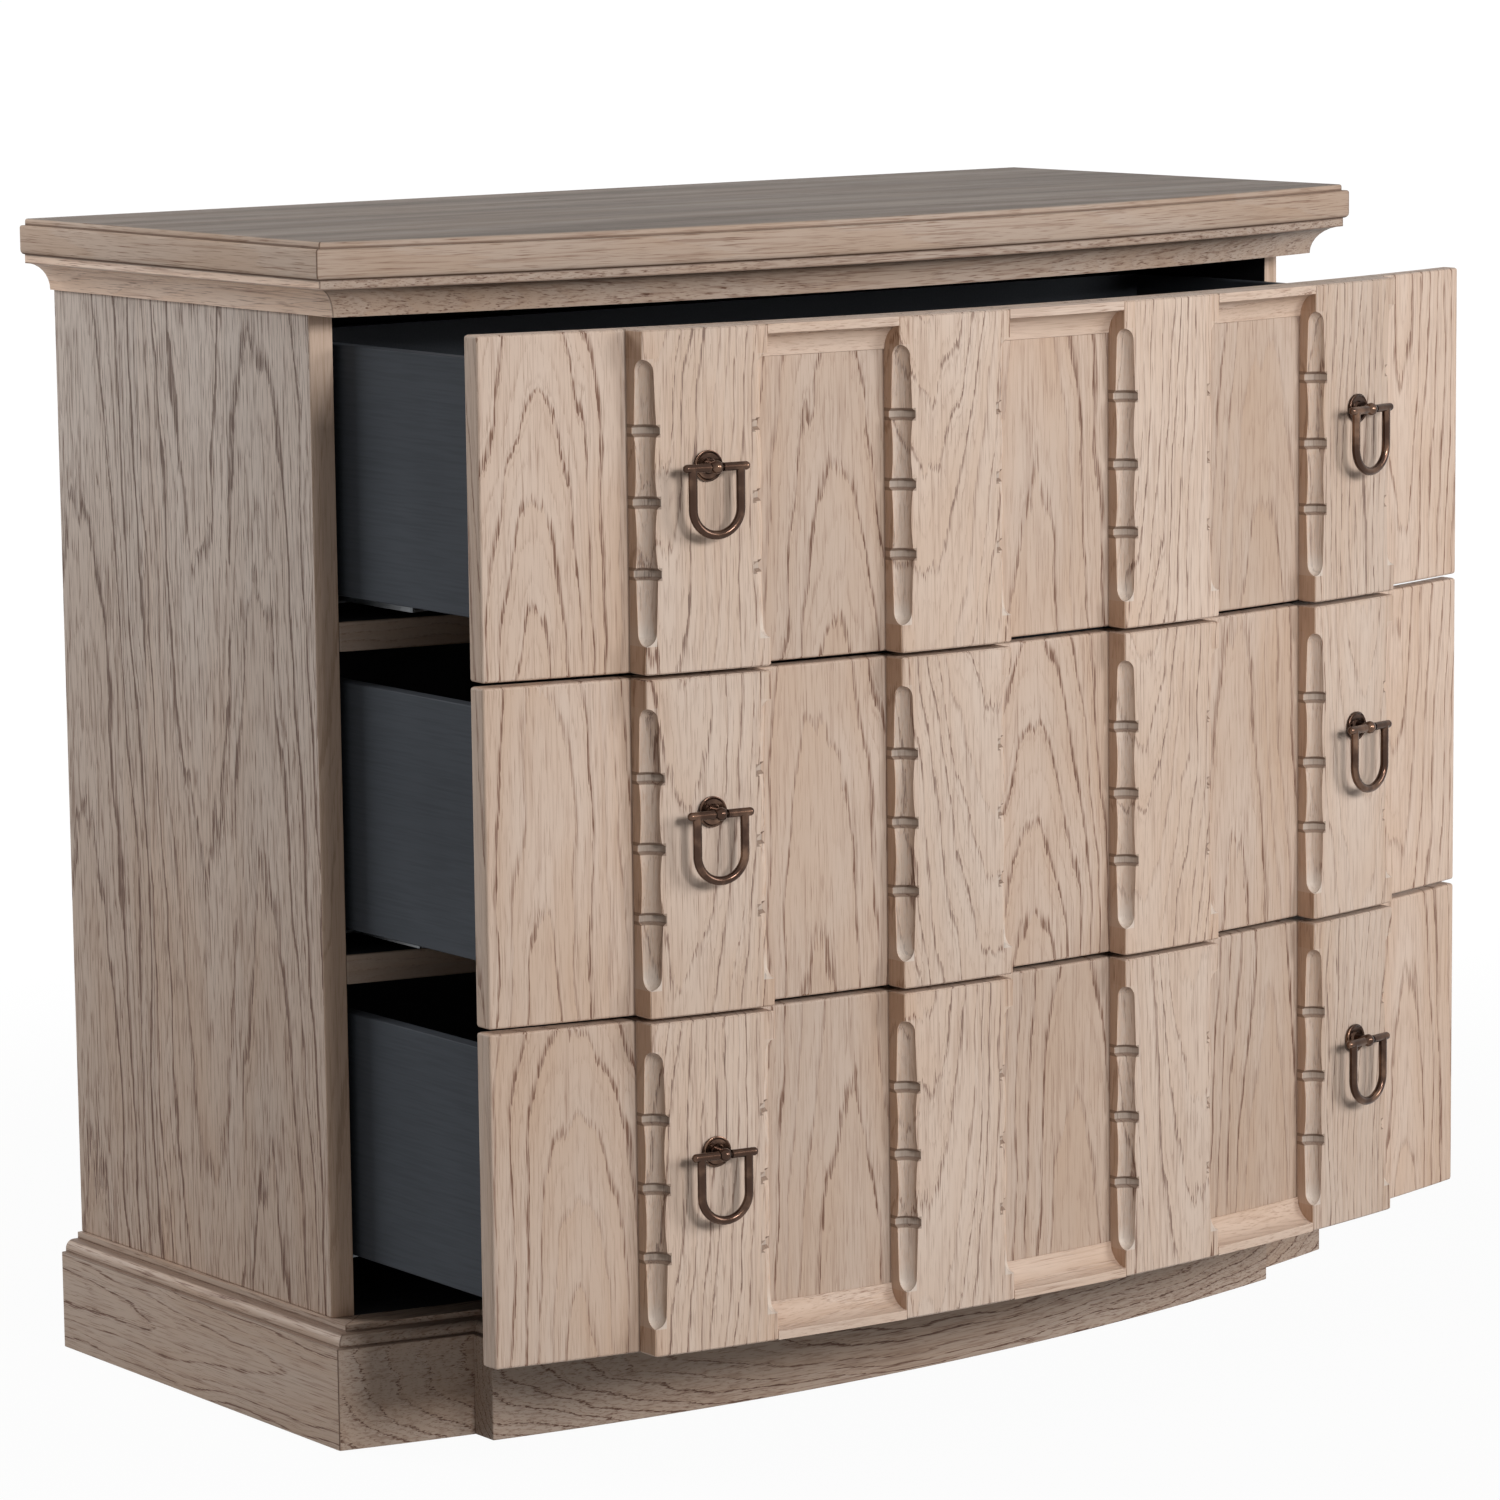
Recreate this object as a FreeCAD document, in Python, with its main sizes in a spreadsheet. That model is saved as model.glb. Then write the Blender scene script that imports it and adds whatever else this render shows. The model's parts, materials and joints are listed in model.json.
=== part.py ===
"""A bow-fronted chest of three drawers with raised blocks, drawn with its drawers pulled open.

The chest stands on z = 0 and faces -Y, and x = 0 is its middle. Every bowed face is an arc about one
upright axis behind the back, so fronts, rails, mouldings and plinth stay parallel to each other.
"""
import FreeCAD
import Part
import Sketcher
import math
import os

DRAWERS = ("lower", "middle", "upper")
HANDS = (("left", -1), ("right", 1))
UPRIGHT = FreeCAD.Vector(0, 0, 1)
ACROSS = FreeCAD.Vector(1, 0, 0)

# Driving sizes in millimetres: alias, value and note
SIZES = (
    ("CaseWidth", 967, "outside of the side panels"),
    ("CaseDepth", 371, "back to the front edge of a side panel"),
    ("BowRadius", 1887, "front of the case, in plan"),
    ("PanelThick", 18, "side panels"),
    ("BackThick", 8, "back panel"),
    ("RailDepth", 62, "rails, front to back"),
    ("DividerThick", 22.5, "rails between drawers"),
    ("PlinthHeight", 79, "plinth boards"),
    ("PlinthThick", 22, "plinth boards"),
    ("PlinthReach", 19, "plinth beyond the side panels"),
    ("PlinthProud", 3, "plinth front beyond the closed blocks"),
    ("BreakProud", 24, "middle of the plinth beyond its ends"),
    ("BreakWidth", 792, "middle of the plinth"),
    ("GlueBlock", 42, "square blocks in the plinth corners"),
    ("BaseThick", 14, "moulded base frame"),
    ("BaseInset", 4, "base frame inside the plinth face"),
    ("BaseWidth", 70, "base frame, edge to deck"),
    ("OvoloRadius", 7, "round on the base frame"),
    ("OvoloFoot", 2, "upright edge under the round"),
    ("OvoloStep", 4.5, "ledge above the round"),
    ("CorniceHeight", 29, "moulding under the top"),
    ("CoveRadius", 22, "hollow of that moulding"),
    ("CoveLip", 3, "lower edge of the hollow beyond a side panel"),
    ("SlabThick", 28, "top"),
    ("SlabProud", 4, "top beyond the moulding"),
    ("SlabStep", 5, "step round the top, each way"),
    ("SlabRound", 4, "lower edge of the top"),
    ("SlabEase", 2, "upper edges of the top"),
    ("FrontHeight", 250, "drawer front"),
    ("FrontGap", 3.5, "between fronts, above and below them"),
    ("FrontInset", 0.5, "front inside the case, each end"),
    ("FrontThick", 16, "drawer front at a recess"),
    ("FrontClear", 1, "closed front to case"),
    ("BlockProud", 20, "block on its front"),
    ("BlockWidth", 101, "block"),
    ("RecessWidth", 112.4, "recess between blocks"),
    ("RailBand", 7, "flat of the hollow rails"),
    ("RailCove", 18, "hollow of those rails"),
    ("FluteMargin", 21, "flute to the end of its block"),
    ("FluteRadius", 9.2, "flute at its waist"),
    ("FluteFlare", 0.9, "swelling of a flute beside a ring"),
    ("RingRadius", 13.6, "ring of a flute"),
    ("RingFlat", 3, "floor of a ring"),
    ("RingWidth", 7, "mouth of a ring"),
    ("DrawerOpen", 200, "drawers pulled out"),
    ("BoxThick", 12, "drawer sides and backs"),
    ("BoxHeight", 189, "drawer sides"),
    ("BoxDrop", 20, "drawer sides below the top of their front"),
    ("BoxClear", 6.5, "drawer sides to side panels"),
    ("BoxRear", 14, "closed drawer to the back panel"),
    ("BottomThick", 6, "drawer bottoms"),
    ("BottomLift", 13, "drawer bottoms above the lower edge of the sides"),
    ("RunnerSetback", 34, "runner behind the front edge of a side panel"),
    ("RunnerRear", 7, "case runner to the back panel"),
    ("RunnerWidth", 22, "runner under the drawer bottom"),
    ("RunnerPlate", 2, "folded sheet of the runners"),
    ("RunnerLift", 31, "runner above the lower edge of its front"),
    ("RunnerFlange", 16, "runner on the side panel"),
    ("RunnerLip", 6, "inner edge of the case member"),
    ("MidWidth", 13, "middle member of a runner"),
    ("MidHeight", 12, "middle member of a runner"),
    ("RunnerRise", 8.2, "drawer member of a runner, up to the drawer bottom"),
    ("SlideGap", 0.4, "between sliding members"),
    ("HandlePlace", 320.1, "handle from the middle of the chest"),
    ("HandleLift", 150, "handle above the lower edge of its front"),
    ("RoseRadius", 11.5, "rosette"),
    ("RoseEdge", 1.4, "edge of the rosette"),
    ("RoseRim", 1.2, "bead round the rosette"),
    ("RoseDish", 0.9, "hollow inside the bead"),
    ("BossRadius", 5.2, "middle of the rosette"),
    ("BossHeight", 3.4, "middle of the rosette"),
    ("ShankRadius", 2.5, "bolt of a handle post"),
    ("StemRadius", 3.4, "post ahead of the rosette"),
    ("BallRadius", 5, "head of the post"),
    ("NutRadius", 6, "nut inside the drawer"),
    ("NutHeight", 4, "nut inside the drawer"),
    ("SeatSlack", 0.05, "flat nut on the hollow side of a front"),
    ("BarReach", 14, "bar of a bail ahead of the block"),
    ("BarLength", 54, "bar of a bail"),
    ("BarRadius", 3.2, "bar of a bail"),
    ("NeckRadius", 2.1, "bar inside the post"),
    ("EyeClear", 0.45, "bar in the eye of its post"),
    ("LegSpan", 38.8, "between the legs of a bail"),
    ("LegRadius", 3.3, "loop of a bail"),
    ("LoopDrop", 49.2, "bar to the lowest bend of a bail"),
    ("Overrun", 10, "cutting shapes past what they cut"),
)

# Places that follow from the sizes
PLACES = (
    ("CaseHalf", "Size.CaseWidth / 2"),
    ("InnerHalf", "CaseHalf - Size.PanelThick"),
    ("RecessRadius", "Size.BowRadius + Size.FrontClear + Size.FrontThick"),
    ("BlockRadius", "RecessRadius + Size.BlockProud"),
    ("FrontBack", "Size.BowRadius + Size.FrontClear"),
    ("FrontHalf", "CaseHalf - Size.FrontInset"),
    ("BowBehind", "sqrt(Size.BowRadius ^ 2 - CaseHalf ^ 2) - Size.CaseDepth"),
    ("BackY", "(BlockRadius - BowBehind + Size.DrawerOpen) / 2"),
    ("BowY", "BackY + BowBehind"),
    ("OpenBowY", "BowY - Size.DrawerOpen"),
    ("FarFront", "-BackY - Size.Overrun"),
    ("PlinthHalf", "CaseHalf + Size.PlinthReach"),
    ("PlinthRadius", "BlockRadius + Size.PlinthProud"),
    ("BaseZ", "Size.PlinthHeight"),
    ("DeckZ", "BaseZ + Size.BaseThick"),
    ("BaseHalf", "PlinthHalf - Size.BaseInset"),
    ("BaseRadius", "PlinthRadius - Size.BaseInset"),
    ("MidLift", "Size.RunnerLift + Size.RunnerPlate + Size.SlideGap"),
    ("TopLift", "MidLift + Size.MidHeight + Size.SlideGap"),
    ("RoofLift", "TopLift + Size.RunnerRise"),
    ("BoxLift", "RoofLift - Size.BottomLift"),
    ("BoxRoom", "BoxLift + Size.BoxHeight + Size.BoxDrop"),
    ("DrawerPitch", "max(Size.FrontHeight; BoxRoom) + Size.FrontGap"),
    ("CorniceZ", "DeckZ + Size.FrontGap + 3 * DrawerPitch"),
    ("SlabZ", "CorniceZ + Size.CorniceHeight"),
    ("CoveHalf", "CaseHalf + Size.CoveLip"),
    ("CorniceHalf", "CoveHalf + Size.CoveRadius"),
    ("CorniceRadius", "BlockRadius + Size.CoveRadius"),
    ("SlabHalf", "CorniceHalf + Size.SlabProud"),
    ("SlabRadius", "CorniceRadius + Size.SlabProud"),
    ("Sweep", "3 * asin(SlabHalf / Size.BowRadius)"),
    ("FluteLength", "Size.FrontHeight - 2 * Size.FluteMargin"),
    ("FluteNode", "Size.FluteRadius + Size.FluteFlare"),
    ("BoxHalf", "InnerHalf - Size.BoxClear"),
    ("BoxInner", "BoxHalf - Size.BoxThick"),
    ("BoxEndY", "BackY - Size.BackThick - Size.BoxRear - Size.DrawerOpen"),
    ("RunnerHalf", "BoxInner - Size.RunnerPlate"),
    ("RunnerInner", "RunnerHalf - Size.RunnerWidth"),
    ("RunnerFrontY", "BackY - Size.CaseDepth + Size.RunnerSetback"),
    ("RunnerLength", "Size.CaseDepth - Size.RunnerSetback - Size.BackThick - Size.RunnerRear"),
    ("HandleTurn", "asin(Size.HandlePlace / BlockRadius)"),
    ("HandleY", "OpenBowY - sqrt(BlockRadius ^ 2 - Size.HandlePlace ^ 2)"),
    ("WallDepth", "Size.FrontThick + Size.BlockProud"),
    ("LegDrop", "Size.LoopDrop - Size.LegSpan / 2"),
    ("NeckHalf", "Size.BallRadius + Size.EyeClear"),
)

# Mitred corners: name, outside half width, outside radius and how far in the joint runs
CORNERS = (
    ("Cornice", "CorniceHalf", "CorniceRadius", "Size.CoveRadius"),
    ("Base", "BaseHalf", "BaseRadius", "Size.BaseWidth"),
    ("Plinth", "PlinthHalf", "PlinthRadius", "Size.PlinthThick"),
)

# Rings of a flute, as shares of its length
RING_SHARES = (0.25, 0.5, 0.75)

doc = FreeCAD.newDocument("BlockFrontChest")
pieces = {}


def write_sheets():
    """Fill one sheet with the driving sizes and one with the places that follow from them."""
    size = doc.addObject("Spreadsheet::Sheet", "Size")
    for row, (alias, value, note) in enumerate(SIZES, 1):
        size.set(f"A{row}", alias)
        size.set(f"B{row}", str(value))
        size.set(f"C{row}", note)
        size.setAlias(f"B{row}", alias)
    doc.recompute()
    place = doc.addObject("Spreadsheet::Sheet", "Place")
    rows = list(PLACES)
    for name, half, radius, depth in CORNERS:
        outer = f"({half} + Size.Overrun)"
        inner = f"({half} - {depth})"
        rows.append((f"{name}MitreX", f"-{outer}"))
        rows.append((f"{name}MitreY", f"BowY - sqrt(({radius} + Size.Overrun) ^ 2 - {outer} ^ 2)"))
        rows.append((f"{name}InnerY", f"BowY - sqrt(({radius} - {depth}) ^ 2 - {inner} ^ 2)"))
        rise = f"{name}InnerY - {name}MitreY"
        rows.append((f"{name}MitreTurn", f"atan2({rise}; {depth} + Size.Overrun)"))
    for row, (alias, formula) in enumerate(rows, 1):
        place.set(f"A{row}", alias)
        place.set(f"B{row}", f"={formula}")
        place.setAlias(f"B{row}", alias)
    doc.recompute()
    return size


size_sheet = write_sheets()


def number(text):
    """The value of an expression, for the first drawing of an outline."""
    value = size_sheet.evalExpression(text)
    return float(getattr(value, "Value", value))


def tie(obj, bindings):
    """Bind properties of an object to expressions."""
    for path, text in bindings.items():
        obj.setExpression(path, text)
    return obj


def placed(obj, x="0", y="0", z="0"):
    """Bind where an object's own origin sits."""
    base = {"Placement.Base.x": x, "Placement.Base.y": y, "Placement.Base.z": z}
    return tie(obj, base)


def block(xs, ys, zs):
    """A box between pairs of low and high places."""
    obj = doc.addObject("Part::Box", "Block")
    lengths = {name: f"({high}) - ({low})"
               for name, (low, high) in zip(("Length", "Width", "Height"), (xs, ys, zs))}
    return placed(tie(obj, lengths), xs[0], ys[0], zs[0])


def rod(radius, length, axis=UPRIGHT):
    """A round rod from the origin along an axis."""
    obj = doc.addObject("Part::Cylinder", "Rod")
    obj.Placement.Rotation = FreeCAD.Rotation(UPRIGHT, axis)
    return tie(obj, {"Radius": radius, "Height": length})


def ball(radius):
    obj = doc.addObject("Part::Sphere", "Ball")
    return tie(obj, {"Radius": radius})


def combine(kind, base, tool):
    """A boolean of two shapes: Part::Cut or Part::Common."""
    obj = doc.addObject(kind, kind.split("::")[1])
    obj.Base = base
    obj.Tool = tool
    return obj


def less(base, *tools):
    for tool in tools:
        base = combine("Part::Cut", base, tool)
    return base


def shared(base, tool):
    return combine("Part::Common", base, tool)


def joined(shapes):
    """Several shapes made one solid."""
    obj = doc.addObject("Part::MultiFuse", "Joined")
    obj.Shapes = shapes
    obj.Refine = True
    return obj


def group(shapes):
    """Several solids kept apart under one name."""
    obj = doc.addObject("Part::Compound", "Group")
    obj.Links = shapes
    return obj


def mirrored(source):
    """The same piece for the right-hand side."""
    obj = doc.addObject("Part::Mirroring", "Mirror")
    obj.Source = source
    obj.Normal = ACROSS
    return obj


def piece(node, obj):
    """Name a finished sub-part."""
    obj.Label = node
    pieces[node] = obj
    return obj


def pair(name, left):
    """Name a left-hand piece and its mirror image."""
    piece(f"{name}_left", left)
    piece(f"{name}_right", mirrored(left))


def bow(radius, zs, centre="Place.BowY"):
    """An upright drum about the bow axis, past both ends of the heights given."""
    low, high = zs
    drum = rod(radius, f"({high}) - ({low}) + 2 * Size.Overrun")
    return placed(drum, "0", centre, f"({low}) - Size.Overrun")


def bowed(xs, zs, radius, inner=None, centre="Place.BowY", back="Place.BackY"):
    """A board whose front, and back where an inner radius is given, follow the bow."""
    front = f"{centre} - ({radius}) - Size.Overrun"
    board = shared(block(xs, (front, back), zs), bow(radius, zs, centre))
    if inner:
        board = less(board, bow(inner, zs, centre))
    return board


def across(half):
    """The stretch from -half to half."""
    return f"-({half})", half


def arc_between(start, end, radius, turn):
    """The short arc from start to end, anticlockwise where turn is 1, with its ends in drawn order."""
    chord = end.sub(start)
    normal = FreeCAD.Vector(-chord.y, chord.x, 0).normalize()
    rise = math.sqrt(max(radius ** 2 - chord.Length ** 2 / 4, 0))
    centre = start.add(chord.multiply(1 / 2)).add(normal.multiply(turn * rise))
    first, last = (start, end) if turn > 0 else (end, start)
    angles = [math.atan2(point.y - centre.y, point.x - centre.x) for point in (first, last)]
    circle = Part.Circle(centre, UPRIGHT, radius)
    return Part.ArcOfCircle(circle, *angles)


def outline(body, role, corners, name="Outline"):
    """A closed sketch whose every corner is held by two distances from the origin.

    A corner is (x, y), or (x, y, radius, turn) where the edge that leaves it is an arc.
    """
    sketch = body.newObject("Sketcher::SketchObject", name)
    plane = next(f for f in body.Origin.OriginFeatures if f.Role == role)
    sketch.AttachmentSupport = [(plane, "")]
    sketch.MapMode = "FlatFace"
    points = [FreeCAD.Vector(number(c[0]), number(c[1]), 0) for c in corners]
    ends = []
    for index, corner in enumerate(corners):
        start, end = points[index], points[(index + 1) % len(points)]
        if len(corner) == 2:
            edge = sketch.addGeometry(Part.LineSegment(start, end), False)
            ends.append((edge, 1, 2))
            continue
        radius, turn = corner[2:]
        edge = sketch.addGeometry(arc_between(start, end, number(radius), turn), False)
        ends.append((edge, 1, 2) if turn > 0 else (edge, 2, 1))
        held = sketch.addConstraint(Sketcher.Constraint("Radius", edge, number(radius)))
        sketch.setExpression(f"Constraints[{held}]", radius)
    for index, (edge, start, end) in enumerate(ends):
        after, its_start, its_end = ends[(index + 1) % len(ends)]
        sketch.addConstraint(Sketcher.Constraint("Coincident", edge, end, after, its_start))
        for kind, axis, text in zip(("DistanceX", "DistanceY"), (-2, -1), corners[index]):
            if text == "0":
                sketch.addConstraint(Sketcher.Constraint("PointOnObject", edge, start, axis))
                continue
            rule = Sketcher.Constraint(kind, -1, 1, edge, start, number(text))
            held = sketch.addConstraint(rule)
            sketch.setExpression(f"Constraints[{held}]", text)
    return sketch


def padded(body, sketch, length, reverse=False):
    pad = body.newObject("PartDesign::Pad", "Pad")
    pad.Profile = sketch
    pad.Reversed = reverse
    return tie(pad, {"Length": length})


def turned(body, sketch, angle="360"):
    """A revolution about the upright axis of a sketch, even on both sides of it."""
    turn = body.newObject("PartDesign::Revolution", "Turn")
    turn.Profile = sketch
    turn.ReferenceAxis = (sketch, ["V_Axis"])
    turn.Midplane = True
    return tie(turn, {"Angle": angle})


def new_body(name):
    return doc.addObject("PartDesign::Body", name)


def rounded(body, feature, radius, chosen):
    """Round those edges of a feature for which chosen(edge) holds."""
    doc.recompute()
    names = [f"Edge{i}" for i, edge in enumerate(feature.Shape.Edges, 1) if chosen(edge)]
    fillet = body.newObject("PartDesign::Fillet", "Round")
    fillet.Base = (feature, names)
    return tie(fillet, {"Radius": radius})


def straight_run(name, corners):
    """A moulding along the left side: its section, in x and z, carried from the back to past the front."""
    body = placed(new_body(name), y="Place.BackY")
    padded(body, outline(body, "XZ_Plane", corners), "2 * Place.BackY + Size.Overrun")
    return body


def bowed_run(name, corners):
    """The same moulding carried along the bow: its section, in radius and z, turned about the bow axis."""
    body = placed(new_body(name), y="Place.BowY")
    turned(body, outline(body, "YZ_Plane", corners), "Place.Sweep")
    return body


def mitre(name, zs):
    """What lies on the left side of a mitred corner, outside the given piece's inner edge."""
    low, high = zs
    reach = "2 * Size.CaseWidth"
    region = doc.addObject("Part::Box", "Mitre")
    height = f"({high}) - ({low}) + 2 * Size.Overrun"
    tie(region, {"Length": reach, "Width": reach, "Height": height})
    placed(region, f"Place.{name}MitreX", f"Place.{name}MitreY", f"({low}) - Size.Overrun")
    region.Placement.Rotation = FreeCAD.Rotation(UPRIGHT, number(f"Place.{name}MitreTurn"))
    return tie(region, {"Placement.Rotation.Angle": f"Place.{name}MitreTurn"})


def mitred(name, node, zs, inner, side, front):
    """Part a side run from a front run at the mitre, and make the right side from the left."""
    ys = ("Place.FarFront", "Place.BackY + Size.Overrun")
    heights = (f"({zs[0]}) - Size.Overrun", f"({zs[1]}) + Size.Overrun")
    left_only = block((f"-Place.{name}Half - Size.Overrun", f"-({inner})"), ys, heights)
    region = shared(mitre(name, zs), left_only)
    pair(node, shared(side, region))
    whole = shared(front, block(across(f"Place.{name}Half"), ys, heights))
    piece(f"{node}_front", less(whole, region, mirrored(region)))


def make_top():
    """The top: a bowed slab with a rounded lower edge and a step round its upper face."""
    body = placed(new_body("Top"), z="Place.SlabZ")

    def bow_outline(half, radius, name):
        front = f"Place.BowY - sqrt(({radius}) ^ 2 - ({half}) ^ 2)"
        back = "Place.BackY"
        corners = [(half, back), (f"-({half})", back), (f"-({half})", front, radius, 1), (half, front)]
        return outline(body, "XY_Plane", corners, name)

    back_y = number("Place.BackY")

    def worked(edge, height):
        """An edge at a height that is not along the back."""
        box = edge.BoundBox
        flat = abs(box.ZMin - height) + abs(box.ZMax - height) < Part.Precision.confusion() * 10
        return flat and box.YMin < back_y - number("Size.SlabRound")

    step = "Size.SlabThick - Size.SlabStep"
    pad = padded(body, bow_outline("Place.SlabHalf", "Place.SlabRadius", "Edge"), step)
    foot = rounded(body, pad, "Size.SlabRound", lambda edge: worked(edge, 0))
    rounded(body, foot, "Size.SlabEase", lambda edge: worked(edge, number(step)))
    inset = "(Place.SlabHalf - Size.SlabStep)"
    sketch = bow_outline(inset, "(Place.SlabRadius - Size.SlabStep)", "Step")
    tie(sketch, {"AttachmentOffset.Base.z": step})
    upper = padded(body, sketch, "Size.SlabStep")
    rounded(body, upper, "Size.SlabEase", lambda edge: worked(edge, number("Size.SlabThick")))
    piece("top_panel", body)


def make_cornice():
    """The hollow moulding under the top, mitred at the front corners."""
    low, high = "Place.CorniceZ", "Place.SlabZ"

    def section(inner, edge):
        tip = f"-({edge} + Size.CoveRadius)"
        band = "Place.CorniceZ + Size.CoveRadius"
        return [(f"-{inner}", low), (f"-{inner}", high), (tip, high), (tip, band, "Size.CoveRadius", -1),
                (f"-{edge}", low)]

    side = straight_run("CorniceSide", section("Place.CaseHalf", "Place.CoveHalf"))
    front = bowed_run("CorniceFront", section("Size.BowRadius", "Place.BlockRadius"))
    mitred("Cornice", "cornice", (low, high), "Place.CaseHalf", side, front)


def leftward(text):
    """A distance to the left of the middle, or the middle itself."""
    return text if text == "0" else f"-({text})"


def base_section(inner, edge):
    """The base frame: an upright foot, a round, a ledge and an upright edge, from its outermost place."""
    top, low = "Place.DeckZ", "Place.BaseZ"
    spring = "Place.BaseZ + Size.OvoloFoot"
    crown = f"{spring} + Size.OvoloRadius"
    shoulder = f"-({edge} - Size.OvoloRadius)"
    ledge = f"-({edge} - Size.OvoloRadius - Size.OvoloStep)"
    return [(leftward(inner), low), (leftward(inner), top), (ledge, top), (ledge, crown),
            (shoulder, crown, "Size.OvoloRadius", 1), (f"-({edge})", spring), (f"-({edge})", low)]


def make_base():
    """The moulded base frame with its deck, which steps forward over the middle of the plinth."""
    zs = ("Place.BaseZ", "Place.DeckZ")
    inner_half = "Place.BaseHalf - Size.BaseWidth"
    inner_radius = "Place.BaseRadius - Size.BaseWidth"
    side = straight_run("BaseSide", base_section(inner_half, "Place.BaseHalf"))
    front = bowed_run("BaseFront", base_section(inner_radius, "Place.BaseRadius"))
    proud = bowed_run("BaseBreak", base_section(inner_radius, "(Place.BaseRadius + Size.BreakProud)"))
    break_half = "(Size.BreakWidth / 2 - Size.BaseInset)"
    end = straight_run("BaseBreakEnd", base_section("0", break_half))
    middle = shared(proud, joined([end, mirrored(end)]))
    mitred("Base", "base_moulding", zs, inner_half, side, joined([front, middle]))
    piece("bottom_deck", bowed(across(inner_half), zs, inner_radius))


def make_plinth():
    """Mitred plinth boards, the proud middle of the front, a back board and glue blocks."""
    zs = ("0", "Size.PlinthHeight")

    def section(edge):
        inner = f"-({edge} - Size.PlinthThick)"
        return [(inner, "0"), (inner, zs[1]), (f"-{edge}", zs[1]), (f"-{edge}", "0")]

    side = straight_run("PlinthSide", section("Place.PlinthHalf"))
    front = bowed_run("PlinthFront", section("Place.PlinthRadius"))
    inner = "Place.PlinthHalf - Size.PlinthThick"
    mitred("Plinth", "plinth", zs, inner, side, front)
    proud = "Place.PlinthRadius + Size.BreakProud"
    piece("plinth_breakfront", bowed(across("Size.BreakWidth / 2"), zs, proud, "Place.PlinthRadius"))
    back_face = "Place.BackY - Size.PlinthThick"
    piece("plinth_back", block(across(inner), (back_face, "Place.BackY"), zs))
    front_face = "Place.PlinthInnerY"
    edges = ((f"{front_face} + Size.GlueBlock / 2", f"{front_face} + Size.GlueBlock * 3 / 2"),
             (f"{back_face} - Size.GlueBlock", back_face))
    xs = (f"-({inner})", f"-({inner}) + Size.GlueBlock")
    lefts = [block(xs, ys, ("Size.PlinthHeight - Size.GlueBlock", zs[1])) for ys in edges]
    piece("glue_blocks", group(lefts + [mirrored(b) for b in lefts]))


def make_case():
    """Side panels with bowed front edges, the back, and the rails that join them."""
    zs = ("Place.DeckZ", "Place.SlabZ")
    xs = ("-Place.CaseHalf", "-Place.InnerHalf")
    pair("side_panel", bowed(xs, zs, "Size.BowRadius"))
    inside = across("Place.InnerHalf")
    back_face = "Place.BackY - Size.BackThick"
    piece("back_panel", block(inside, (back_face, "Place.BackY"), zs))
    top = ("Place.CorniceZ", "Place.SlabZ")
    inner = "Size.BowRadius - Size.RailDepth"
    piece("top_front_rail", bowed(inside, top, "Size.BowRadius", inner))
    piece("top_back_rail", block(inside, (f"{back_face} - Size.RailDepth", back_face), top))
    for level in (1, 2):
        low = front_z(level)
        zs = (low, f"{low} + Size.DividerThick")
        piece(f"divider_{DRAWERS[level]}", bowed(inside, zs, "Size.BowRadius", inner))


def front_z(level):
    """Lower edge of the drawer front at a level, counted from the bottom."""
    return f"Place.DeckZ + Size.FrontGap + {level} * Place.DrawerPitch"


def make_flute():
    """A bamboo-shaped cutter: domed ends, waisted stretches and a ring at each share of its length."""
    body = new_body("Flute")
    waist, node = "Size.FluteRadius", "Place.FluteNode"
    length = "Place.FluteLength"
    corners = [("0", "0", waist, 1), (waist, waist)]
    for share in RING_SHARES:
        middle = f"{length} * {share}"
        corners.append((node, f"{middle} - Size.RingWidth / 2"))
        corners.append(("Size.RingRadius", f"{middle} - Size.RingFlat / 2"))
        corners.append(("Size.RingRadius", f"{middle} + Size.RingFlat / 2"))
        gap = f"({length} * {RING_SHARES[1] - RING_SHARES[0]} - Size.RingWidth)"
        hollow = f"({gap} ^ 2 / 4 + Size.FluteFlare ^ 2) / (2 * Size.FluteFlare)"
        above = f"{middle} + Size.RingWidth / 2"
        last = share == RING_SHARES[-1]
        corners.append((node, above) if last else (node, above, hollow, -1))
    corners += [(waist, f"{length} - {waist}", waist, 1), ("0", length)]
    turned(body, outline(body, "XZ_Plane", corners))
    return body


def block_spans():
    """Low and high x of the four blocks, and of the recesses between them, from the left."""
    pitch = "(Size.BlockWidth + Size.RecessWidth)"
    blocks, recesses = [], []
    for index in range(4):
        low = f"-Size.RecessWidth / 2 + {index - 2} * {pitch} + Size.RecessWidth"
        blocks.append((low, f"{low} + Size.BlockWidth"))
    for (_, low), (high, _) in zip(blocks, blocks[1:]):
        recesses.append((low, high))
    return blocks, recesses


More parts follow.
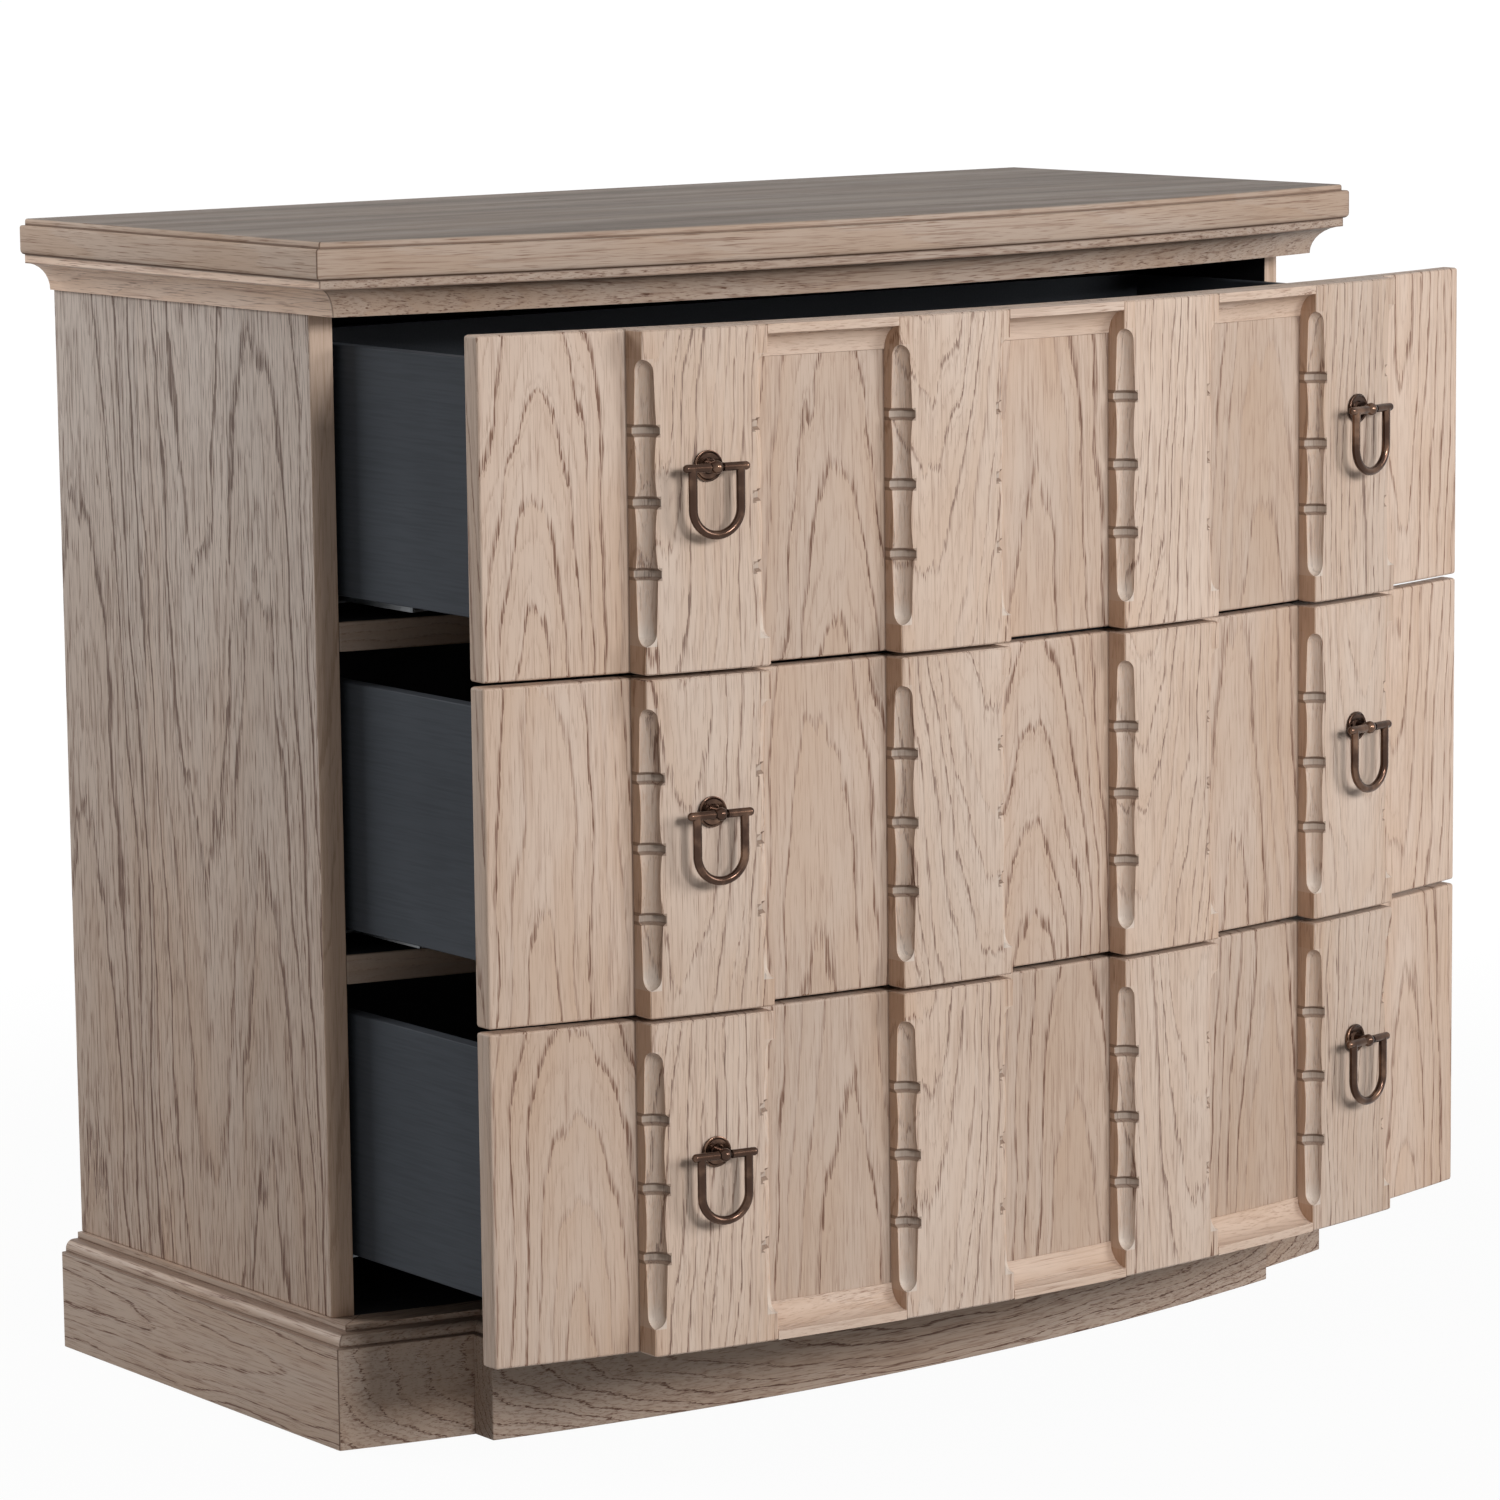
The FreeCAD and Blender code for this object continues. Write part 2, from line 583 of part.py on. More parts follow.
def make_front(name, level, flute, bores):
    """A drawer front, its fluted blocks and, at the top and the bottom of the chest, its hollow rails."""
    low = front_z(level)
    zs = (low, f"{low} + Size.FrontHeight")
    centre = "Place.OpenBowY"
    recess, face = "Place.RecessRadius", "Place.BlockRadius"
    board = bowed(across("Place.FrontHalf"), zs, recess, "Place.FrontBack", centre)
    piece(f"{name}_front", less(board, bores))
    blocks, recesses = block_spans()
    solids, flutes = [], []
    for span in blocks:
        solids.append(bowed(span, zs, face, recess, centre))
        for edge in span:
            cutter = group([flute])
            depth = f"{centre} - sqrt({face} ^ 2 - ({edge}) ^ 2)"
            flutes.append(placed(cutter, edge, depth, f"{low} + Size.FluteMargin"))
    piece(f"{name}_blocks", less(group(solids), group(flutes), bores))
    depth = "Size.RailBand + Size.RailCove"
    rails = {"upper": (f"{zs[1]} - ({depth})", zs[1], f"{zs[1]} - ({depth})"),
             "lower": (low, f"{low} + {depth}", f"{low} + {depth}")}
    if name not in rails:
        return
    bottom, top, hollow_z = rails[name]
    hollow = doc.addObject("Part::Torus", "Hollow")
    tie(hollow, {"Radius1": face, "Radius2": "Size.RailCove"})
    placed(hollow, "0", centre, hollow_z)
    strips = [bowed(span, (bottom, top), face, recess, centre) for span in recesses]
    piece(f"{name}_hollow_rails", group([less(strip, hollow) for strip in strips]))


def make_box(name, level):
    """The drawer box behind a front: sides cut to the bow, a back and a bottom."""
    low = f"{front_z(level)} + Place.BoxLift"
    zs = (low, f"{low} + Size.BoxHeight")
    centre, end = "Place.OpenBowY", "Place.BoxEndY"
    xs = ("-Place.BoxHalf", "-Place.BoxInner")
    pair(f"{name}_side", bowed(xs, zs, "Place.FrontBack", None, centre, end))
    inside = across("Place.BoxInner")
    bottom = (f"{low} + Size.BottomLift", f"{low} + Size.BottomLift + Size.BottomThick")
    piece(f"{name}_bottom", bowed(inside, bottom, "Place.FrontBack", None, centre, end))
    piece(f"{name}_back", block(inside, (f"{end} - Size.BoxThick", end), (bottom[1], zs[1])))


def make_runners():
    """Three-part runners: a folded member on the case, a middle channel and a member under each drawer."""
    case_members = []
    sheet = "Size.RunnerPlate"
    middle = "(Place.RunnerHalf + Place.RunnerInner) / 2"
    for level, name in enumerate(DRAWERS):
        low = front_z(level)

        def run(outer, inner, bottom, top, shift):
            front = f"Place.RunnerFrontY - ({shift})"
            ys = (front, f"{front} + Place.RunnerLength")
            return block((f"-({outer})", f"-({inner})"), ys, (f"{low} + {bottom}", f"{low} + {top}"))

        floor = f"Size.RunnerLift + {sheet}"
        plate = run("Place.InnerHalf", "Place.RunnerInner", "Size.RunnerLift", floor, "0")
        flange = run("Place.InnerHalf", f"Place.InnerHalf - {sheet}", "Size.RunnerLift",
                     "Size.RunnerLift + Size.RunnerFlange", "0")
        lip = run(f"Place.RunnerInner + {sheet}", "Place.RunnerInner", "Size.RunnerLift",
                  "Size.RunnerLift + Size.RunnerLip", "0")
        member = joined([plate, flange, lip])
        case_members += [member, mirrored(member)]

        half_way = "Size.DrawerOpen / 2"
        out, back = f"{middle} + Size.MidWidth / 2", f"{middle} - Size.MidWidth / 2"
        top = "Place.MidLift + Size.MidHeight"
        core = run(out, back, "Place.MidLift", top, half_way)
        groove = run(f"{out} - {sheet}", f"{back} + {sheet}", f"Place.MidLift + {sheet}",
                     f"{top} - {sheet}", half_way)
        channel = less(core, groove)
        piece(f"{name}_mid_runners", group([channel, mirrored(channel)]))

        roof = "Place.RoofLift"
        body = run("Place.RunnerHalf", "Place.RunnerInner", f"{roof} - {sheet}", roof, "Size.DrawerOpen")
        rib = run(out, back, "Place.TopLift", roof, "Size.DrawerOpen")
        rail = joined([body, rib])
        piece(f"{name}_runners", group([rail, mirrored(rail)]))
    piece("case_runners", group(case_members))


def make_rosette():
    """A rosette turned about the handle axis: an edge, a bead, a dish and a raised middle."""
    body = new_body("Rosette")
    edge, rim, dish = "Size.RoseRadius", "Size.RoseRim", "Size.RoseDish"
    crest = "-(Size.RoseEdge + Size.RoseRim)"
    low = "-(Size.RoseEdge + Size.RoseRim - Size.RoseDish)"
    top = "-Size.BossHeight"
    boss, bore = "Size.BossRadius", "Size.ShankRadius"
    corners = [(bore, "0"), (bore, top), (boss, top), (f"{boss} + {dish}", low),
               (f"{edge} - {rim} - {dish}", low), (f"{edge} - {rim}", crest, rim, -1),
               (edge, "-Size.RoseEdge"), (edge, "0")]
    turned(body, outline(body, "XY_Plane", corners))
    return body


def make_post():
    """A post: a bolt through the front with its nut, a stem and a ball head with an eye for the bar."""
    wall, boss = "Place.WallDepth", "Size.BossHeight"
    along = FreeCAD.Vector(0, -1, 0)
    nut_y = f"{wall} + Size.SeatSlack"
    bolt = placed(rod("Size.ShankRadius", f"{nut_y} + Size.NutHeight + {boss}", along),
                  y=f"{nut_y} + Size.NutHeight")
    nut = placed(rod("Size.NutRadius", "Size.NutHeight", along), y=f"{nut_y} + Size.NutHeight")
    stem = placed(rod("Size.StemRadius", f"Size.BarReach - {boss}", along), y=f"-({boss})")
    head = placed(ball("Size.BallRadius"), y="-Size.BarReach")
    eye = placed(rod("Size.NeckRadius + Size.EyeClear", "4 * Size.BallRadius", ACROSS),
                 x="-2 * Size.BallRadius", y="-Size.BarReach")
    return less(joined([bolt, nut, stem, head]), eye)


def make_bail():
    """A bail: a round-ended bar, thinner where it passes the post, with a loop that hangs from it."""
    bar_half, neck = "Size.BarLength / 2 - Size.BarRadius", "Place.NeckHalf"
    reach = "-Size.BarReach"
    left = placed(rod("Size.BarRadius", f"{bar_half} - {neck}", ACROSS), x=f"-({bar_half})", y=reach)
    right = placed(rod("Size.BarRadius", f"{bar_half} - {neck}", ACROSS), x=neck, y=reach)
    core = placed(rod("Size.NeckRadius", f"2 * ({bar_half})", ACROSS), x=f"-({bar_half})", y=reach)
    tips = [placed(ball("Size.BarRadius"), f"{sign} * ({bar_half})", reach) for _, sign in HANDS]
    legs = [placed(rod("Size.LegRadius", "Place.LegDrop"), f"{sign} * Size.LegSpan / 2", reach,
                   "-Place.LegDrop") for _, sign in HANDS]
    bend = doc.addObject("Part::Torus", "Bend")
    bend.Placement.Rotation = FreeCAD.Rotation(ACROSS, -90)
    bend.Angle3 = 180
    tie(bend, {"Radius1": "Size.LegSpan / 2", "Radius2": "Size.LegRadius"})
    placed(bend, "0", reach, "-Place.LegDrop")
    return joined([left, right, core, bend] + tips + legs)


def at_handle(shape, level, sign):
    """A handle piece set on its block, square to the bowed face."""
    spot = group([shape])
    turn = f"{sign} * Place.HandleTurn"
    spot.Placement.Rotation = FreeCAD.Rotation(UPRIGHT, number(turn))
    tie(spot, {"Placement.Rotation.Angle": turn})
    return placed(spot, f"{sign} * Size.HandlePlace", "Place.HandleY", f"{front_z(level)} + Size.HandleLift")


def make_drawers():
    """Three drawers with their fronts, boxes and handles."""
    flute, rosette, post, bail = make_flute(), make_rosette(), make_post(), make_bail()
    along = FreeCAD.Vector(0, 1, 0)
    bore = placed(rod("Size.ShankRadius", "Place.WallDepth + 2 * Size.Overrun", along), y="-Size.Overrun")
    for level, name in enumerate(DRAWERS):
        bores = group([at_handle(bore, level, sign) for _, sign in HANDS])
        make_front(name, level, flute, bores)
        make_box(name, level)
        piece(f"{name}_rosettes", group([at_handle(rosette, level, sign) for _, sign in HANDS]))
        piece(f"{name}_posts", group([at_handle(post, level, sign) for _, sign in HANDS]))
        for hand, sign in HANDS:
            piece(f"{name}_bail_{hand}", at_handle(bail, level, sign))


def write_parts():
    """Check every object, then write each sub-part to its own file."""
    doc.recompute()
    failed = [obj.Name for obj in doc.Objects if {"Invalid", "Error"} & set(obj.State)]
    if failed:
        raise RuntimeError(f"objects that failed: {failed}")
    for node, obj in pieces.items():
        if obj.Shape.isNull() or not obj.Shape.isValid() or not obj.Shape.Solids:
            raise RuntimeError(f"{node} has no sound solid")
    os.makedirs("parts", exist_ok=True)
    for node, obj in pieces.items():
        obj.Shape.exportStep(f"parts/{node}.step")
        print(node, len(obj.Shape.Solids), "solids", round(obj.Shape.Volume), "mm3")


make_top()
make_cornice()
make_base()
make_plinth()
make_case()
make_runners()
make_drawers()
write_parts()
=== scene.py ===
"""Looks of a bow-fronted chest of three drawers, built round its packed construction.

Every piece is in metres in the chest's own frame: the floor is z = 0, the chest faces -Y and x = 0 is its
middle. The drawers stand open, as they rest. Boards and mouldings are worked out from the frame and stand
for the plain solids of the same names; handles, runners and hidden boards keep their solids.
"""
import functools
import json
import math
from typing import NamedTuple

import bmesh
import bpy
import numpy as np
from mathutils import Matrix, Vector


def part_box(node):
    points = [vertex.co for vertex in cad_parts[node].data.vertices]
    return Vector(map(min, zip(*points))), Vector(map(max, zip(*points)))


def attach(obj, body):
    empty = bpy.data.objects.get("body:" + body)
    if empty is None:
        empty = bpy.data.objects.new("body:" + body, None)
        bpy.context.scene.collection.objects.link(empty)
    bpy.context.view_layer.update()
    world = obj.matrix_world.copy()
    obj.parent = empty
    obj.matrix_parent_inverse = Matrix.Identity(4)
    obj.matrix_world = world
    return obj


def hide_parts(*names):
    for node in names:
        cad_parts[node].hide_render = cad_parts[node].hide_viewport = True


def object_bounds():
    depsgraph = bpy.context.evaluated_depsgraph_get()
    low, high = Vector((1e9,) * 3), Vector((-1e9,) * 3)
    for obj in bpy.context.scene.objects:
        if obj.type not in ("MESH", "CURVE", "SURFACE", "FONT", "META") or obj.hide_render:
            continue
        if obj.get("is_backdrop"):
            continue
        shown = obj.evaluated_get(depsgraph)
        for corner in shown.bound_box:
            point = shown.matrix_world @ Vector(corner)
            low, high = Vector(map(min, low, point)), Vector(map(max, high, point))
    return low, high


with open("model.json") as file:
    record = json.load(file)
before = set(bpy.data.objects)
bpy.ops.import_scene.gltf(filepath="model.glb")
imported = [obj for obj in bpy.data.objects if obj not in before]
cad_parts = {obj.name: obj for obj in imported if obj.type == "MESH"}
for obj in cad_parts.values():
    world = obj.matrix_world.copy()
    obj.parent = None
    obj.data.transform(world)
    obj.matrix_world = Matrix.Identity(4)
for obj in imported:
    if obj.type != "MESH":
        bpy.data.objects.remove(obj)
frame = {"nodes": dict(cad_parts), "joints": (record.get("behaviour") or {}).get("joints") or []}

bl_info = {
    "name": "Block Front Chest",
    "version": (1, 0, 0),
    "blender": (4, 5, 0),
    "location": "View3D > Sidebar > Chest",
    "description": "Boards, mouldings, finishes and stage of a bow-fronted chest of drawers",
    "category": "Object",
}

DRAWERS = ("lower", "middle", "upper")
HANDS = {"left": -1, "right": 1}
BLOCKS, RINGS = 4, 3  # on a drawer front, and on a flute
X, Y, Z = range(3)
MM = 1000.0
PHOTO_PIXELS = 1500
SHARP_ANGLE, EASE_ANGLE = math.radians(32), math.radians(35)


def srgb(*screen):
    """A colour given as screen values from 0 to 255, in the linear light that shaders use."""
    level = np.array(screen) / 255
    linear = np.where(level <= 0.04045, level / 12.92, ((level + 0.055) / 1.055) ** 2.4)
    return tuple(linear.tolist())


def length(label, note, default):
    """A size in metres that a user can change."""
    return bpy.props.FloatProperty(name=label, description=note, default=default, precision=4, unit="LENGTH")


def amount(label, note, default, subtype="NONE"):
    """A plain number, or an angle, that a user can change."""
    return bpy.props.FloatProperty(name=label, description=note, default=default, subtype=subtype)


def count(label, note, default):
    """A whole number that a user can change."""
    return bpy.props.IntProperty(name=label, description=note, default=default, min=2)


def tint(label, note, *screen):
    """A colour that a user can change."""
    return bpy.props.FloatVectorProperty(name=label, description=note, default=srgb(*screen), size=3,
                                         min=0, max=1, subtype="COLOR")


def spot(label, note, *place):
    """A place in metres that a user can change."""
    return bpy.props.FloatVectorProperty(name=label, description=note, default=place, size=3,
                                         subtype="TRANSLATION", unit="LENGTH")


class ChestSizes(bpy.types.PropertyGroup):
    """Sizes of worked edges, which the frame's boxes don't give."""

    front_thick: length("Front board", "Thickness of a drawer front at a recess", 0.016)
    front_gap: length("Front gap", "Between the case and the closed drawer fronts", 0.001)
    block_width: length("Block", "Width of a raised block", 0.101)
    flute_margin: length("Flute margin", "From the end of a block to its flutes", 0.021)
    flute_radius: length("Flute", "Radius of a flute at its waist", 0.0092)
    flute_flare: length("Flute flare", "Swelling of a flute beside a ring", 0.0015)
    ring_radius: length("Ring", "Radius of the rings of a flute", 0.0136)
    ring_flat: length("Ring floor", "Height of a ring at its floor", 0.0048)
    ring_mouth: length("Ring mouth", "Height of a ring at its mouth", 0.0088)
    rail_band: length("Rail band", "Flat of the hollow rails", 0.007)
    rail_cove: length("Rail hollow", "Radius of the hollow rails", 0.018)
    slab_step: length("Top step", "Step round the top, each way", 0.005)
    slab_round: length("Top lower edge", "Round under the top", 0.004)
    slab_ease: length("Top upper edges", "Round on the upper edges of the top", 0.002)
    top_strip: length("Top strip", "Width of the strips that edge the top", 0.012)
    cove_radius: length("Cove", "Hollow of the moulding under the top", 0.022)
    ovolo_radius: length("Ovolo", "Round of the base frame", 0.007)
    ovolo_foot: length("Ovolo foot", "Upright edge under that round", 0.002)
    ovolo_step: length("Ovolo ledge", "Ledge above that round", 0.0045)
    arris: length("Arris", "Eased edges of boards", 0.0012)
    soft_arris: length("Soft arris", "Eased edges of drawer fronts", 0.0022)
    screw_radius: length("Screw head", "Radius of the screw heads", 0.0042)
    screw_dome: amount("Screw dome", "Height of a screw head as a share of its radius", 0.35)
    screw_columns: count("Screw columns", "Screws along the top and the bottom of the back panel", 7)
    screw_rows: count("Screw rows", "Screws up each side of the back panel", 6)
    runner_screws: count("Runner screws", "Screws of each fixed runner", 3)
    runner_sheet: length("Runner sheet", "Folded sheet of the runners", 0.002)
    stop_width: length("Runner stop", "Width of the stop at the front of a runner", 0.010)
    stop_clear: length("Stop gap", "Between a stop and the drawer above it", 0.0006)


class ChestFinish(bpy.types.PropertyGroup):
    """Colours of the finishes."""

    oak_pale: tint("Pale oak", "Wood between the grain lines", 214, 193, 177)
    oak_warm: tint("Warm oak", "Late wood and warm patches", 202, 172, 148)
    oak_line: tint("Grain line", "Open pores and grain lines", 158, 121, 99)
    oak_dark: tint("Deep grain", "Deepest pores", 112, 83, 69)
    # Pale wash on the blocks and in the flutes, where it also lifts their shade as painted light, and a
    # painted highlight at the lower ends of the flutes
    glaze: tint("Glaze", "Pale wash left in hollows", 214, 203, 192)
    ring_grey: tint("Ring wash", "Grey wash on the rings", 158, 148, 139)
    # Dark lines at joints and mitres, and painted shade in ring walls, block corners, profile creases, the
    # top's step and under the top
    dark_joint_and_shade: tint("Dark glaze", "Dark wash in the walls of rings and in joints", 106, 84, 70)
    # Brown of the pores in the flutes, and painted shade on the side walls of the blocks
    brown_wash_and_wall_shade: tint("Wall wash", "Brown wash on the side walls of blocks", 196, 154, 120)
    # The grey that the side panels turn to towards the top
    side_grey: tint("Side wash", "Grey wash on the side panels", 198, 190, 184)
    side_line: tint("Side line", "Grain lines under that wash", 96, 84, 76)
    # Colour of the top's surface, greyer and darker than the rest
    top_grey: tint("Top", "Greyer wash on the top", 144, 146, 146)
    # Near-black colour inside the case
    inside_black: tint("Inside stain", "Dark stain inside the case", 34, 33, 35)
    charcoal: tint("Charcoal", "Painted drawer boxes", 78, 82, 88)
    board: tint("Board", "Plain hidden boards", 168, 146, 122)
    bronze: tint("Bronze", "Handles", 68, 49, 39)
    bronze_bright: tint("Rubbed bronze", "Rubbed parts of the handles", 122, 94, 76)
    zinc: tint("Zinc", "Runners and screws", 136, 140, 144)


class ChestStage(bpy.types.PropertyGroup):
    """Camera, light and floor."""

    camera: spot("Camera", "Place of the camera", -2.8004, -3.6329, 1.1787)
    turn: amount("Turn", "Camera to the right of straight at the front", 0.6478, "ANGLE")
    pitch: amount("Pitch", "Camera below level", 0.1516, "ANGLE")
    roll: amount("Roll", "Camera about its own line of sight", -0.0116, "ANGLE")
    focal_pixels: amount("Focal length", "In pixels of the photograph", 5758.2)
    key_place: spot("Key light", "Place of the light in front of the chest", -0.2, -4.6, 2.1)
    key_size: length("Key size", "Width of that light", 0.9)
    key_power: amount("Key power", "Watts of that light", 108)
    side_place: spot("Side light", "Place of the soft light at the right", 2.1, -3.9, 1.7)
    side_size: length("Side size", "Width of that light", 1.6)
    side_power: amount("Side power", "Watts of that light", 76)
    fill_place: spot("Fill light", "Place of the soft light at the left", -2.0, 2.5, 2.0)
    fill_size: length("Fill size", "Width of that light", 1.6)
    fill_power: amount("Fill power", "Watts of that light", 70)
    ambient: amount("Ambient", "Strength of the light from all round", 0.13)
    floor_reach: length("Floor", "Half the width of the floor", 60.0)
    floor_thick: length("Floor depth", "Lower face of the floor below the chest", 0.02)
    floor_gap: length("Floor gap", "Between the floor and the plinth", 0.0004)
    floor_grey: amount("Floor grey", "How much light the floor throws back", 0.4)
    floor_white: amount("Floor white", "Share of plain white in the floor near the chest", 0.93)
    floor_glow: amount("Floor glow", "Strength of that plain white", 1.03)
    floor_near: length("Shadow floor", "From the middle of the chest to where that share rises", 0.9)
    floor_far: length("White floor", "From the middle of the chest to where the floor is all white", 2.6)


def sizes_now():
    """The sizes as they are set."""
    return bpy.context.scene.chest_sizes


def colours_now():
    """The colours as they are set."""
    return bpy.context.scene.chest_finish


class Bow(NamedTuple):
    """The upright axis that every bowed face turns about, and the radii of a drawer front's two faces."""

    axis: float
    face: float
    back: float

    def y(self, x, radius):
        """The front of a circle about the axis: y = axis - sqrt(radius² - x²)."""
        return self.axis - np.sqrt(radius ** 2 - x ** 2)


def drawer_bow():
    """The bow of the open drawers, from the box of a front: its half width h, depth D and thickness t.

    The face has radius r = (h² + D² - t²) / (2 (D - t)), because r - D = sqrt((r - t)² - h²).
    """
    low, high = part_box("upper_front")
    depth, thick = high.y - low.y, sizes_now().front_thick
    radius = (high.x ** 2 + depth ** 2 - thick ** 2) / (2 * (depth - thick))
    return Bow(low.y + radius, radius, radius - thick)


def case_bow():
    """The bow of the case: the same axis with the drawers closed."""
    bow = drawer_bow()
    slide = next(joint for joint in frame["joints"] if joint["name"] == "upper_drawer_slide")
    return bow._replace(axis=bow.axis - slide["range_m"][0])


def block_pitch():
    """From one block of a drawer front to the next."""
    low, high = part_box("lower_blocks")
    return (high.x - low.x - sizes_now().block_width) / (BLOCKS - 1)


def drawer_pitch():
    """From one drawer up to the next."""
    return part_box("middle_front")[0].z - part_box("lower_front")[0].z


def shell(grid, ends=None):
    """A closed skin: quads between each section grid[i] and the next, and a cap on the first and the last.

    Each cap is one face, or the faces that ends gives as places along the section.
    """
    rows, around = grid.shape[:2]
    ends = [np.arange(around)] if ends is None else ends
    index = np.arange(rows * around).reshape(rows, around)
    beside = np.roll(index, -1, axis=1)
    quads = np.stack([index[:-1], beside[:-1], beside[1:], index[1:]], -1).reshape(-1, 4)
    return grid.reshape(-1, 3), quads, [row[end] for row in (index[0], index[-1]) for end in ends]


def mesh_of(name, shells):
    """One mesh of several closed skins, with its faces turned outwards and its arrises sharp."""
    starts = np.cumsum([0] + [len(points) for points, _, _ in shells])
    points = np.concatenate([points for points, _, _ in shells])
    faces = []
    for start, (_, quads, caps) in zip(starts, shells):
        faces += (quads + start).tolist()
        faces += [(cap + start).tolist() for cap in caps]
    mesh = bpy.data.meshes.new(name)
    mesh.from_pydata(points, [], faces, shade_flat=False)
    work = bmesh.new()
    work.from_mesh(mesh)
    bmesh.ops.recalc_face_normals(work, faces=work.faces)
    work.to_mesh(mesh)
    work.free()
    mesh.set_sharp_from_angle(angle=SHARP_ANGLE)
    return mesh


def add_piece(name, shells, material, body, nodes=(), ease=0.0):
    """Put a piece on its body, with its finish, its eased edges and the nodes that it stands for."""
    piece = bpy.data.objects.new(name, mesh_of(name, shells))
    bpy.context.scene.collection.objects.link(piece)
    piece.data.materials.append(material)
    if ease:
        bevel = piece.modifiers.new("Eased edges", "BEVEL")
        bevel.width = ease
        bevel.segments = 2
        bevel.limit_method = "ANGLE"
        bevel.angle_limit = EASE_ANGLE
        bevel.harden_normals = True
    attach(piece, body)
    if nodes:
        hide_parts(*nodes)


def dress(node, material):
    """Give a solid that stays in view its finish."""
    piece = frame["nodes"][node]
    piece.data.materials.clear()
    piece.data.materials.append(material)


def section(*points):
    """A section as rows of two numbers."""
    return np.array(points, float)


def arc(centre, radius, start, end, points=9):
    """Points of a round stretch: centre + radius (cos a, sin a) for a from start to end, in degrees."""
    angle = np.radians(np.linspace(start, end, points))
    return np.stack([centre[0] + radius * np.cos(angle), centre[1] + radius * np.sin(angle)], -1)


def bowed_run(profile, x, axis, ends=None):
    """A section of points (r, z) carried along the bow: at x it lies at (x, axis - sqrt(r² - x²), z)."""
    radius, z = profile.T
    x = np.broadcast_to(x, (len(x), len(profile)))
    return shell(np.stack([x, axis - np.sqrt(radius ** 2 - x ** 2), np.broadcast_to(z, x.shape)], -1), ends)


def bowed_span(profile, span, axis, sections=49):
    """A section of points (r, z) carried along the bow from one x to another, and cut square there."""
    return bowed_run(profile, np.linspace(*span, sections)[:, None], axis)


def bowed_board(span, radii, heights, axis):
    """A board between two radii about the bow axis, cut square at both ends."""
    (near, far), (low, high) = radii, heights
    return bowed_span(section((near, low), (far, low), (far, high), (near, high)), span, axis)


def lofted(outlines, heights):
    """Outlines in plan, each laid at its own height, joined into a closed skin."""
    return shell(np.stack([np.column_stack([outline, np.full(len(outline), height)])
                           for outline, height in zip(outlines, heights)]))


def box_shell(low, high):
    """A plain board between two corners."""
    outline = section((low[0], low[1]), (high[0], low[1]), (high[0], high[1]), (low[0], high[1]))
    return lofted([outline, outline], (low[2], high[2]))


def bow_fronted(node, bow, radius, points):
    """A board that fills its node's box, with its front edge on the bow."""
    low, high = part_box(node)
    x = np.linspace(low.x, high.x, points)
    outline = np.concatenate([np.column_stack([x, bow.y(x, radius)]), [(high.x, high.y), (low.x, high.y)]])
    return lofted([outline, outline], (low.z, high.z))


def turned(profile, centre, direction, sides=16):
    """A section of points (radius, height) turned about a level line from centre along a unit direction."""
    axis = np.array(direction, float)
    side = np.cross(axis, (0.0, 0.0, 1.0))
    angle = np.linspace(0, 2 * np.pi, sides, endpoint=False)
    ring = np.cos(angle)[:, None] * side + np.sin(angle)[:, None] * np.cross(axis, side)
    radius, height = profile.T
    return shell(np.array(centre) + radius[:, None, None] * ring + height[:, None, None] * axis)


